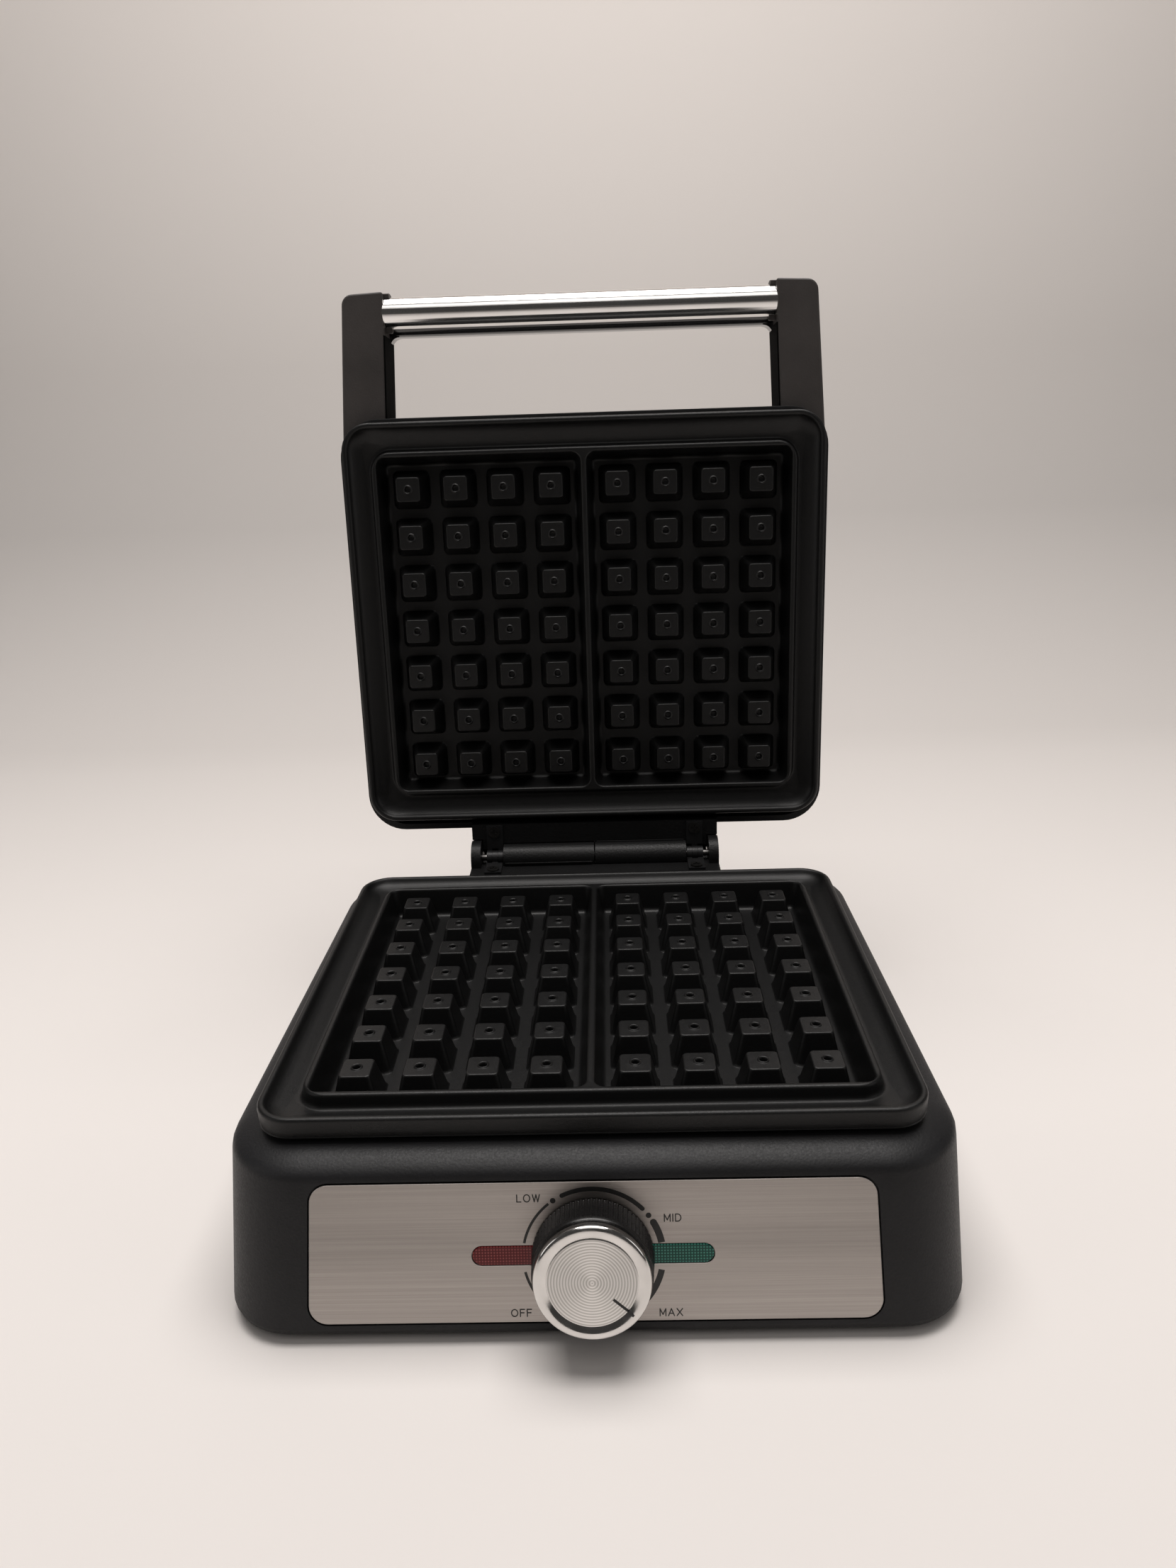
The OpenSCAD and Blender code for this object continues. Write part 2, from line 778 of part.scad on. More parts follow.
// Half widths over the arms' inner and outer faces, which splay towards the lid
function arm_in(y) = arm_inner + (y + handle_reach) * arm_splay_in;
function arm_out(y) = arm_outer + (y + handle_reach) * arm_splay_out;

// Outline seen along z: the front outer corner is rounded, and the root meets the lid
module arm_outline() {
    root = lid_front + 9;
    tip = -handle_reach;
    r = arm_corner;
    polygon([[arm_in(tip), tip - end_slant], [arm_out(tip) - r, tip + end_slant * 0.4],
        [arm_out(tip + r) - r, tip + r], [arm_out(tip + r), tip + r],
        [arm_out(root), root], [arm_in(root), root]]);
    translate([arm_out(tip + r) - r, tip + r]) circle(r = r);
}

module handle_arm() {
    difference() {
        translate([0, 0, arm_low]) linear_extrude(arm_high - arm_low) arm_outline();
        lid_solid();
        // Room for the plate's flange and the pan under the root
        round_slab(plate_w + 1, plate_d + 1, plate_corner, 0, lid_edge + 1);
        // Socket for the tube, and pilot holes for the screws
        translate([0, -tube_reach, tube_level])
            x_rod(tube_d / 2 + 0.03, arm_inner - 2, arm_inner + socket_depth);
        for (p = handle_screw_places)
            translate([screw_x, lid_front - 14, p[0]]) rotate([-90, 0, 0]) cylinder(r = 1.8, h = 20);
    }
}

module right_handle_arm() { color("#2b2b2e") at_lid() handle_arm(); }
module left_handle_arm() { color("#2b2b2e") at_lid() scale([-1, 1, 1]) handle_arm(); }

module handle_cross_bar() {
    front = arm_in(-cross_front) - 0.02;
    back = arm_in(-cross_back) - 0.02;
    color("#1d1d1f") at_lid() translate([0, 0, cross_low])
        linear_extrude(arm_high - cross_low - 1)
            polygon([[-front, -cross_front], [front, -cross_front],
                [back, -cross_back], [-back, -cross_back]]);
}

module handle_tube() {
    color("#d9d9d9") at_lid() translate([0, -tube_reach, tube_level]) difference() {
        x_rod(tube_d / 2, -arm_inner - socket_depth + 0.1, arm_inner + socket_depth - 0.1);
        x_rod(tube_d / 2 - 1, -arm_inner - 9, arm_inner + 9);
    }
}

module handle_screws() {
    color("#b5b5b5") at_lid() sides() for (p = handle_screw_places)
        translate([screw_x, lid_front + p[1], p[0]]) rotate([-90, 0, 0])
            panhead_screw(3.4, 2, 1.7, 14);
}

module lid_thermal_fuse() {
    color("#e6e0cc") at_lid() translate([0, 60, 32]) thermal_fuse();
}

module lid_wiring() {
    r = 1.1;
    color("#f1efe8") at_lid() {
        wire([[-16.1, -49.9, 32.4], [-30, -10, 32.6], [-30, 45, 32.6], [-21.2, 60, 32]], r);
        wire([[21.2, 60, 32], [36, 88, 31.5], [36.4, 95.6, 24], [36.4, 96.3, 15]], r);
        wire([[16.1, -49.9, 32.4], [42, 0, 32.6], [44, 88, 31.5], [39.6, 95.6, 24], [39.6, 96.3, 15]], r);
    }
}

// ---------- knob ----------

module knob_skirt() {
    r = skirt_d / 2;
    gap = panel_proud + 0.4;
    color("#121212") on_knob() difference() {
        union() {
            rotate_extrude() polygon([[r - 1.8, gap], [r, gap], [r - 0.7, skirt_h],
                [0, skirt_h], [0, skirt_h - 2], [r - 2.4, skirt_h - 2]]);
            translate([0, 0, 3.4]) cylinder(r = 5.6, h = skirt_h - 4.4);
            for (i = [0 : 35])
                rotate(i * 10) translate([r - 1.2, -0.35, gap + 0.6]) cube([1.35, 0.7, 9.6]);
        }
        difference() {
            translate([0, 0, 3]) cylinder(r = shaft_r + 0.02, h = 7.2);
            translate([-4, 1.65, 2]) cube([8, 4, 9]);
        }
    }
}

module knob_cap() {
    r = cap_d / 2;
    color("#e4e4e4") on_knob() rotate_extrude()
        polygon([[0, skirt_h + 0.02], [r - 0.5, skirt_h + 0.02], [r, skirt_h + 0.5],
            [r, knob_h - 0.9], [r - 0.7, knob_h - 0.15], [r - 1.6, knob_h],
            [disc_r + 0.1, knob_h - 0.35], [disc_r + 0.1, knob_h - disc_recess - 0.3],
            [0, knob_h - disc_recess - 0.3]]);
}

module knob_disc() {
    color("#cfcfcf") on_knob() translate([0, 0, knob_h - disc_recess - 0.28])
        cylinder(r = disc_r, h = 0.7);
}

module knob_pointer() {
    color("#151515") on_knob() rotate(-pointer_angle)
        translate([-0.4, 8.2, knob_h - disc_recess + 0.44]) cube([0.8, 5.5, 0.12]);
}

module knob_clip() {
    color("#9a9a9a") on_knob() translate([0, 0, 4.5]) difference() {
        cylinder(r = 6.5, h = 3.5);
        translate([0, 0, -1]) cylinder(r = 5.65, h = 6);
        translate([-1, 0, -1]) cube([2, 10, 6]);
    }
}

// ---------- output ----------

base_housing();
bottom_cover();
rubber_feet();
bottom_screws();
control_panel();
red_lamp_lens();
green_lamp_lens();
lamp_carriers();
neon_lamps();
lower_plate();
lower_element();
lower_pan();
lower_plate_screws();
lower_earth_tag();
thermostat();
thermostat_bracket();
thermostat_nut();
base_thermal_fuse();
terminal_block();
base_wiring();
hinge_lead();
cord_gland();
base_hinge_block();
base_hinge_leaves();
base_hinge_screws();
hinge_pins();
lid_housing();
upper_plate();
upper_element();
upper_pan();
upper_plate_screws();
upper_earth_tag();
lid_thermal_fuse();
lid_wiring();
lid_hinge_block();
lid_hinge_leaves();
lid_hinge_screws();
lid_lead();
left_handle_arm();
right_handle_arm();
handle_cross_bar();
handle_tube();
handle_screws();
knob_skirt();
knob_cap();
knob_disc();
knob_pointer();
knob_clip();
thermostat_shaft();
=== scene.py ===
"""Waffle maker, standing open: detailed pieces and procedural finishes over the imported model.

Shapes are given in millimetres in the frame of the part they sit on (plate, lid, panel, knob or hinge)
and turned into metres in the shared frame by piece().
"""
import json
from math import atan2, cos, pi, radians, sin, tan

import bmesh
import bpy
from mathutils import Matrix, Vector


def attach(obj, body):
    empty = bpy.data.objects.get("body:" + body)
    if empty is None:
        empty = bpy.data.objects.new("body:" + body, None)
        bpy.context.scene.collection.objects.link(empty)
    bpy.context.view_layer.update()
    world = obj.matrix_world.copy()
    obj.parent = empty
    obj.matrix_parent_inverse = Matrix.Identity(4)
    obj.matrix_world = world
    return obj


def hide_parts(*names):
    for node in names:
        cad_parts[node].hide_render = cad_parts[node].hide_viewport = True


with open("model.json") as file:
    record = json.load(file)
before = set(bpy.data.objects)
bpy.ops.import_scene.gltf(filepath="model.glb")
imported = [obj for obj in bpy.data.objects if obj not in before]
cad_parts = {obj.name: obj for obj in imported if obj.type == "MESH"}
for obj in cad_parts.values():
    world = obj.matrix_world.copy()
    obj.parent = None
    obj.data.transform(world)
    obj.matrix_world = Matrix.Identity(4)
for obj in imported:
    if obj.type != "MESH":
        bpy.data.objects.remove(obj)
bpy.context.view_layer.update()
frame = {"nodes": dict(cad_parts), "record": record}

# ---------- sizes, mm ----------
MM = 0.001
PLATE_Y = -19.9          # middle of the plates, front to back
PEG_Z = 69               # peg tops of the lower plate
GAP = 3                  # between the two plates' peg tops when closed
OPEN = 94.8              # degrees from closed to the standing lid
LEAN = 14                # degrees that the front face leans back
CREASE_Z = 56            # where the front face meets the shoulder
BOTTOM_Z = 5.5           # lower edge of the base shell
FRONT = -104.4           # front and back of the base shell, from the middle of the plates
BACK = 119
SIDE_TAPER = 0.018       # how much the base's sides draw in towards the back
KNOB_S = 27.7            # knob and lamps, down the face from the crease
LAMP_S = 27.2
MARK_Z = 0.22            # printed marks stand this far off the face
DIAL_R = 22.2            # radius of the printed dial
HINGE_BACK = 114         # hinge axis, from the middle of the plates and above the peg tops
HINGE_RISE = 1.2
PEG_PITCH_X = 22
PEG_PITCH_Y = 21.75
FIRST_COLUMN = 15.3      # nearest peg column, from the middle
ROW_SHIFT = 0.75         # middle peg row, from the middle
TIP = -150               # front end of the handle arms
ARM_IN = 88.2            # inner and outer face of an arm at its tip
ARM_OUT = 106.6
SPLAY_IN = 0.049         # how fast those faces spread towards the lid
SPLAY_OUT = 0.073
ARM_CORNER = 5
ARM_ROOT = -86
ARM_LOW, ARM_HIGH = 8, 33
COLLAR_R = 8.5           # collar round the tube's end
TUBE_R = 6.7
TUBE_REACH = 142.3       # tube axis, out from the middle of the plates and up from the peg tops
TUBE_LEVEL = 15
CROSS_FRONT = -147       # front and back of the cross bar
CROSS_BACK = -133.5
LID_EDGE = 7.6           # lower edge of the lid shell
LID_TOP = 38
POINTER_TURN = -130      # degrees from the top of the knob


def move(x, y, z):
    return Matrix.Translation((x, y, z))


def tilt(degrees):
    return Matrix.Rotation(radians(degrees), 4, "X")


# ---------- frames, mm ----------
BASE = move(0, PLATE_Y, 0)
LOWER = move(0, PLATE_Y, PEG_Z)
HINGE = move(0, PLATE_Y + HINGE_BACK, PEG_Z + HINGE_RISE)
SWING = HINGE @ tilt(-OPEN) @ HINGE.inverted()
LID = SWING @ move(0, PLATE_Y, PEG_Z + GAP)
UPPER = LID @ Matrix.Scale(-1, 4, (0, 0, 1))
LID_HINGE = SWING @ HINGE
FACE = move(0, PLATE_Y + FRONT, CREASE_Z) @ tilt(90 - LEAN)
KNOB = FACE @ move(0, -KNOB_S, 0)


# ---------- finishes ----------
class Look:
    """A Principled material with a few short calls for its texture nodes."""

    def __init__(self, name, color, rough, metal=0.0, **sockets):
        self.mat = bpy.data.materials.new(name)
        self.mat.use_nodes = True
        self.tree = self.mat.node_tree
        self.shader = self.tree.nodes["Principled BSDF"]
        self.set("Base Color", (*color, 1))
        self.set("Roughness", rough)
        self.set("Metallic", metal)
        for key, value in sockets.items():
            self.set(key.replace("_", " "), value)
        self.place = self.tree.nodes.new("ShaderNodeTexCoord").outputs["Object"]
        self.normal = None

    def set(self, socket, value):
        self.shader.inputs[socket].default_value = value

    def link(self, out, socket):
        self.tree.links.new(out, self.shader.inputs[socket])

    def node(self, kind, **wires):
        made = self.tree.nodes.new(kind)
        for key, value in wires.items():
            socket = made.inputs[key.replace("_", " ")]
            if isinstance(value, bpy.types.NodeSocket):
                self.tree.links.new(value, socket)
            else:
                socket.default_value = value
        return made

    def stretch(self, sx, sy, sz, spin=(0, 0, 0)):
        turned = self.node("ShaderNodeMapping", Vector=self.place, Scale=(sx, sy, sz))
        turned.inputs["Rotation"].default_value = [radians(a) for a in spin]
        return turned.outputs[0]

    def noise(self, scale, detail=3.0, roughness=0.55, at=None):
        return self.node("ShaderNodeTexNoise", Vector=at or self.place, Scale=scale, Detail=detail,
                         Roughness=roughness).outputs["Fac"]

    def cells(self, scale, at=None, feature="F1"):
        made = self.node("ShaderNodeTexVoronoi", Vector=at or self.place, Scale=scale)
        made.feature = feature
        return made.outputs["Distance"]

    def ramp(self, value, stops):
        made = self.node("ShaderNodeValToRGB", Fac=value)
        edge = made.color_ramp.elements
        edge[0].position, edge[1].position = stops[0][0], stops[-1][0]
        for spot, _ in stops[1:-1]:
            edge.new(spot)
        for e, (_, c) in zip(edge, stops):
            e.color = (*c, 1) if isinstance(c, tuple) else (c, c, c, 1)
        return made.outputs["Color"]

    def math(self, how, a, b):
        made = self.tree.nodes.new("ShaderNodeMath")
        made.operation = how
        for socket, value in zip(made.inputs, (a, b)):
            if isinstance(value, bpy.types.NodeSocket):
                self.tree.links.new(value, socket)
            else:
                socket.default_value = value
        return made.outputs[0]

    def bump(self, height, depth_mm):
        """Adds a bump on top of those already there."""
        made = self.node("ShaderNodeBump", Height=height, Strength=1.0, Distance=depth_mm * MM)
        if self.normal:
            self.tree.links.new(self.normal, made.inputs["Normal"])
        self.normal = made.outputs["Normal"]
        self.link(self.normal, "Normal")


def face_grid(look, pitch_mm):
    """Distance to the nearest dot of a square grid that lies in the leaning face."""
    made = look.node("ShaderNodeTexVoronoi", Vector=look.stretch(1, 1, 1, (LEAN - 90, 0, 0)),
                     Scale=1000 / pitch_mm, Randomness=0.0)
    made.voronoi_dimensions = "2D"
    return made.outputs["Distance"]


def moulded(name, color, rough, grain=0.9, depth=0.05, spread=0.25):
    """Injection-moulded plastic with a leather grain: grain is the cell size in mm."""
    look = Look(name, color, rough, Specular_IOR_Level=0.3)
    warp = look.noise(600 / grain, 2)
    bent = look.node("ShaderNodeVectorMath")
    bent.operation = "MULTIPLY_ADD"
    look.tree.links.new(warp, bent.inputs[0])
    bent.inputs[1].default_value = (0.0006 * grain,) * 3
    look.tree.links.new(look.place, bent.inputs[2])
    cell = look.cells(1000 / grain, bent.outputs[0], "SMOOTH_F1")
    look.bump(cell, depth)
    look.bump(look.noise(3500, 2), depth * 0.35)
    dark = tuple(c * (1 - spread) for c in color)
    light = tuple(c * (1 + spread) for c in color)
    look.link(look.ramp(look.noise(26, 4), [(0.3, dark), (0.7, light)]), "Base Color")
    look.link(look.ramp(look.noise(1400, 2), [(0.3, rough - 0.07), (0.75, rough + 0.08)]), "Roughness")
    return look.mat


def coated_casting():
    """Black non-stick coat with fine flakes in it; the flakes are real, and their bright centres are painted
    glints.
    """
    look = Look("nonstick_casting", (0.004, 0.004, 0.004), 0.4, Specular_IOR_Level=0.33)
    fine = look.noise(2600, 3, 0.7)
    look.bump(look.noise(420, 3, 0.6), 0.06)
    look.bump(fine, 0.055)
    flake_glint = look.cells(1700)
    # Bright at each flake's centre: painted glints on the coat's flakes.
    shades = [(0.0, (0.16, 0.15, 0.142)), (0.07, (0.012, 0.0115, 0.0112)), (0.2, (0.0028, 0.0028, 0.0029))]
    look.link(look.ramp(flake_glint, shades), "Base Color")
    look.link(look.ramp(fine, [(0.25, 0.32), (0.7, 0.5)]), "Roughness")
    return look.mat


def brushed_panel():
    """Steel sheet with short and long brush strokes across it."""
    look = Look("brushed_panel", (0.5, 0.465, 0.43), 0.34, 1.0, Anisotropic=0.55)
    across = look.stretch(14, 2600, 2600)
    strokes = look.noise(1.0, 5, 0.65, across)
    longer = look.noise(1.0, 3, 0.5, look.stretch(4, 700, 700))
    look.bump(strokes, 0.012)
    mixed = look.math("ADD", look.math("MULTIPLY", strokes, 0.65), look.math("MULTIPLY", longer, 0.35))
    shades = [(0.3, (0.3, 0.276, 0.258)), (0.52, (0.38, 0.35, 0.329)), (0.72, (0.46, 0.427, 0.402))]
    look.link(look.ramp(mixed, shades), "Base Color")
    look.link(look.ramp(strokes, [(0.3, 0.3), (0.7, 0.43)]), "Roughness")
    return look.mat


def tinted_lens(name, color, dot_glint):
    """Translucent lens with small moulded dots, bumped; each dot is painted paler at its centre and darker
    between, painted glints and shade on the dots.
    """
    look = Look(name, color, 0.16, Transmission_Weight=0.1, IOR=1.49, Specular_IOR_Level=0.28)
    dots = face_grid(look, 0.95)
    # Paler dot centres are painted glints; the darker colour between the dots is painted shade.
    shades = [(0.1, dot_glint), (0.34, color), (0.6, tuple(c * 0.6 for c in color))]
    look.link(look.ramp(dots, shades), "Base Color")
    look.bump(dots, 0.06)
    return look.mat


def metal(name, color, rough, scratch=0.01):
    """Worn bare metal."""
    look = Look(name, color, rough, 1.0)
    wear = look.noise(900, 4, 0.6)
    look.bump(wear, scratch)
    dull = [(0.3, max(rough - 0.05, 0.03)), (0.7, rough + 0.08)]
    shades = [(0.3, tuple(c * 0.86 for c in color)), (0.7, color)]
    look.link(look.ramp(look.noise(160, 3), dull), "Roughness")
    look.link(look.ramp(look.noise(70, 3), shades), "Base Color")
    return look.mat


def drawn_chrome():
    """Bright tube with fine lines along it."""
    look = Look("drawn_chrome", (0.82, 0.81, 0.8), 0.12, 1.0)
    line = look.noise(1.0, 4, 0.6, look.stretch(4, 900, 900))
    look.bump(line, 0.02)
    look.bump(look.noise(1.0, 2, 0.5, look.stretch(1.5, 420, 420)), 0.12)
    look.link(look.ramp(line, [(0.3, 0.07), (0.7, 0.17)]), "Roughness")
    shades = [(0.3, (0.76, 0.75, 0.735)), (0.7, (0.84, 0.83, 0.82))]
    look.link(look.ramp(look.noise(30, 3), shades), "Base Color")
    return look.mat


def spun_disc():
    """Aluminium turned in fine rings, which stretch its highlight."""
    look = Look("spun_disc", (0.7, 0.69, 0.67), 0.28, 1.0, Anisotropic=0.85)
    around = look.tree.nodes.new("ShaderNodeTangent")
    around.direction_type, around.axis = "RADIAL", "Z"
    look.link(around.outputs[0], "Tangent")
    rings = look.tree.nodes.new("ShaderNodeTexWave")
    rings.wave_type, rings.rings_direction = "RINGS", "Z"
    look.tree.links.new(look.place, rings.inputs["Vector"])
    rings.inputs["Scale"].default_value = 350
    rings.inputs["Distortion"].default_value = 0.0
    look.bump(rings.outputs["Fac"], 0.012)
    shades = [(0.0, (0.46, 0.445, 0.425)), (1.0, (0.78, 0.765, 0.745))]
    look.link(look.ramp(rings.outputs["Fac"], shades), "Base Color")
    return look.mat


def cap_metal():
    """Polished cap with faint wear."""
    look = Look("cap_metal", (0.74, 0.72, 0.7), 0.14, 1.0)
    look.bump(look.noise(1200, 3), 0.004)
    look.link(look.ramp(look.noise(260, 4), [(0.35, 0.1), (0.7, 0.22)]), "Roughness")
    shades = [(0.3, (0.66, 0.645, 0.625)), (0.7, (0.76, 0.745, 0.725))]
    look.link(look.ramp(look.noise(90, 3), shades), "Base Color")
    return look.mat


def woven(name, color):
    """Braided glass sleeve."""
    look = Look(name, color, 0.85, Sheen_Weight=0.3)
    rows = look.tree.nodes.new("ShaderNodeTexWave")
    look.tree.links.new(look.place, rows.inputs["Vector"])
    rows.inputs["Scale"].default_value = 500
    look.bump(rows.outputs["Fac"], 0.08)
    shades = [(0.3, tuple(c * 0.75 for c in color)), (0.7, color)]
    look.link(look.ramp(look.noise(900, 3), shades), "Base Color")
    return look.mat


def plain(name, color, rough, depth=0.02, scale=1200, metallic=0.0, **sockets):
    """One colour with a fine grain; scale is the grain's noise scale."""
    look = Look(name, color, rough, metallic, **sockets)
    grain = look.noise(scale, 3)
    look.bump(grain, depth)
    shades = [(0.3, tuple(c * 0.82 for c in color)), (0.7, color)]
    dull = [(0.3, max(rough - 0.06, 0.03)), (0.7, min(rough + 0.08, 1))]
    look.link(look.ramp(look.noise(scale / 20, 3), shades), "Base Color")
    look.link(look.ramp(grain, dull), "Roughness")
    return look.mat


LOOKS = {
    "base_plastic": moulded("base_plastic", (0.0085, 0.0085, 0.0095), 0.5, 0.75, 0.045),
    "cover_plastic": moulded("cover_plastic", (0.006, 0.006, 0.0065), 0.55, 0.9, 0.04),
    "foot_rubber": plain("foot_rubber", (0.018, 0.018, 0.018), 0.75, 0.04, 900),
    "plated_steel": metal("plated_steel", (0.62, 0.61, 0.58), 0.34),
    "panel_steel": brushed_panel(),
    # The third colour of each lens is the painted glint on its moulded dots.
    "red_lens": tinted_lens("red_lens", (0.13, 0.007, 0.009), (0.34, 0.07, 0.066)),
    "green_lens": tinted_lens("green_lens", (0.003, 0.075, 0.055), (0.08, 0.34, 0.26)),
    "light_plastic": plain("light_plastic", (0.74, 0.7, 0.6), 0.45),
    "lamp_glass": plain("lamp_glass", (0.9, 0.62, 0.42), 0.08, 0.003, 400, Transmission_Weight=0.7),
    "plate_casting": coated_casting(),
    "element_steel": metal("element_steel", (0.2, 0.185, 0.17), 0.5, 0.02),
    "pan_steel": metal("pan_steel", (0.52, 0.52, 0.51), 0.4, 0.012),
    "brass": metal("brass", (0.68, 0.52, 0.24), 0.33),
    "ceramic": plain("ceramic", (0.72, 0.68, 0.6), 0.3, 0.01, 700, Coat_Weight=0.4),
    "fuse_sleeve": woven("fuse_sleeve", (0.74, 0.7, 0.56)),
    "wire_sleeve": plain("wire_sleeve", (0.75, 0.74, 0.7), 0.5, 0.01, 600),
    "lead_sleeve": plain("lead_sleeve", (0.02, 0.02, 0.02), 0.55, 0.02, 900),
    "hinge_plastic": moulded("hinge_plastic", (0.005, 0.005, 0.0052), 0.45, 0.8, 0.09),
    "hinge_metal": plain("hinge_metal", (0.02, 0.02, 0.021), 0.4, 0.02, 1500, 0.5),
    "dark_screw": metal("dark_screw", (0.06, 0.058, 0.056), 0.4),
    "pin_steel": metal("pin_steel", (0.16, 0.155, 0.15), 0.32),
    "lid_plastic": moulded("lid_plastic", (0.006, 0.006, 0.0065), 0.48, 0.8, 0.05),
    "handle_plastic": moulded("handle_plastic", (0.048, 0.043, 0.041), 0.5, 0.75, 0.045),
    # Black with almost no sheen, for the strips of painted shade on the handle arms.
    "dull_black": plain("dull_black", (0.002, 0.002, 0.002), 0.9, 0.03, 1500, Specular_IOR_Level=0.05),
    "bar_plastic": plain("bar_plastic", (0.012, 0.012, 0.0125), 0.14, 0.004, 1500,
                         Coat_Weight=1.0, Coat_Roughness=0.08),
    "tube_chrome": drawn_chrome(),
    "knob_plastic": plain("knob_plastic", (0.008, 0.0076, 0.0076), 0.3, 0.006, 1500),
    "cap_chrome": cap_metal(),
    "disc_aluminium": spun_disc(),
    "pointer_paint": plain("pointer_paint", (0.006, 0.006, 0.006), 0.4, 0.004, 1500),
}
for entry in frame["record"]["subparts"]:
    shown = frame["nodes"][entry["node"]]
    shown.data.materials.clear()
    shown.data.materials.append(LOOKS[entry["material_slot"]])


# ---------- mesh tools ----------
def ring(w, y0, y1, r, z, n=8, x=0.0):
    """Rounded rectangle at height z as 4 (n + 1) points."""
    h = w / 2 - r
    spots = []
    for cx, cy, start in ((h, y1 - r, 0), (-h, y1 - r, 90), (-h, y0 + r, 180), (h, y0 + r, 270)):
        for i in range(n + 1):
            a = radians(start + 90 * i / n)
            spots.append((x + cx + r * cos(a), cy + r * sin(a), z))
    return spots


def circle(r, z, n=64, cx=0.0, cy=0.0):
    return [(cx + r * cos(2 * pi * i / n), cy + r * sin(2 * pi * i / n), z) for i in range(n)]


class Shape:
    """A mesh built up from rings, blocks, prisms and turned parts."""

    def __init__(self):
        self.bm = bmesh.new()

    def loop(self, points):
        return [self.bm.verts.new(p) for p in points]

    def band(self, a, b):
        for i in range(len(a)):
            j = (i + 1) % len(a)
            self.bm.faces.new((a[i], a[j], b[j], b[i]))

    def stack(self, rings, start=True, end=True):
        """Skin over a pile of rings with the same number of points; returns the first and last loops."""
        loops = [self.loop(r) for r in rings]
        for a, b in zip(loops, loops[1:]):
            self.band(a, b)
        if start:
            self.bm.faces.new(loops[0][::-1])
        if end:
            self.bm.faces.new(loops[-1])
        return loops[0], loops[-1]

    def flat(self, *loops):
        """Flat face inside the first loop, with the others as holes."""
        self.bm.edges.ensure_lookup_table()
        rims = []
        for loop in loops:
            for i, v in enumerate(loop):
                w = loop[(i + 1) % len(loop)]
                if v is not w:
                    rims.append(self.bm.edges.get((v, w)) or self.bm.edges.new((v, w)))
        bmesh.ops.triangle_fill(self.bm, use_beauty=True, use_dissolve=False, edges=rims)

    def spin(self, profile, n=96, cap=False):
        """Turned part: (radius, height) pairs about z, closed at radius 0."""
        loops = []
        for r, z in profile:
            loops.append([self.bm.verts.new((0, 0, z))] if r < 1e-6 else self.loop(circle(r, z, n)))
        for a, b in zip(loops, loops[1:]):
            if len(a) == len(b) == 1:
                continue
            if len(a) == 1 or len(b) == 1:
                tip, rim = (a[0], b) if len(a) == 1 else (b[0], a)
                for i in range(n):
                    self.bm.faces.new((tip, rim[i], rim[(i + 1) % n]))
            else:
                self.band(a, b)
        if cap:
            self.band(loops[-1], loops[0])

    def block(self, x0, x1, y0, y1, z0, z1, r, steps):
        """Box with edges rounded by r."""
        made = bmesh.ops.create_cube(self.bm, size=1)["verts"]
        for v in made:
            v.co = Vector((x0 if v.co.x < 0 else x1, y0 if v.co.y < 0 else y1, z0 if v.co.z < 0 else z1))
        edges = {e for v in made for e in v.link_edges}
        bmesh.ops.bevel(self.bm, geom=list(edges), offset=r, segments=steps, profile=0.5, affect="EDGES")

    def prism(self, outline, z0, z1, r=0.0, steps=3):
        """Outline drawn up from z0 to z1, with sharp edges rounded by r."""
        before = set(self.bm.verts)
        low = self.loop([(x, y, z0) for x, y in outline])
        high = self.loop([(x, y, z1) for x, y in outline])
        self.band(low, high)
        self.bm.faces.new(low[::-1])
        self.bm.faces.new(high)
        if r:
            bmesh.ops.recalc_face_normals(self.bm, faces=list(self.bm.faces))
            edges = [e for e in self.bm.edges if not before.issuperset(e.verts)
                     and len(e.link_faces) == 2 and e.calc_face_angle(0) > 0.5]
            bmesh.ops.bevel(self.bm, geom=edges, offset=r, segments=steps, profile=0.5, affect="EDGES")

    def rod(self, r, x0, x1, y, z, n):
        """Round bar along x."""
        turns = [2 * pi * i / n for i in range(n)]
        self.stack([[(x, y + r * cos(a), z + r * sin(a)) for a in turns] for x in (x0, x1)])

    def copy_at(self, matrix, other):
        """Add another shape's mesh, moved by matrix."""
        held = bpy.data.meshes.new("held")
        other.bm.to_mesh(held)
        held.transform(matrix)
        if matrix.determinant() < 0:
            held.flip_normals()
        self.bm.from_mesh(held)
        bpy.data.meshes.remove(held)


def to_mesh(shape, name):
    mesh = bpy.data.meshes.new(name)
    bmesh.ops.remove_doubles(shape.bm, verts=shape.bm.verts, dist=0.002)
    bmesh.ops.recalc_face_normals(shape.bm, faces=shape.bm.faces)
    shape.bm.to_mesh(mesh)
    return mesh


def cut(target, *tools):
    """target minus each tool, as a new mesh."""
    scene = bpy.context.scene.collection
    held = bpy.data.objects.new("held", target)
    scene.objects.link(held)
    others = []
    for tool in tools:
        knife = bpy.data.objects.new("knife", tool)
        scene.objects.link(knife)
        others.append(knife)
        job = held.modifiers.new("cut", "BOOLEAN")
        job.operation, job.solver, job.object = "DIFFERENCE", "EXACT", knife
    bpy.context.view_layer.update()
    made = bpy.data.meshes.new_from_object(held.evaluated_get(bpy.context.evaluated_depsgraph_get()))
    for o in [held, *others]:
        bpy.data.objects.remove(o)
    return made


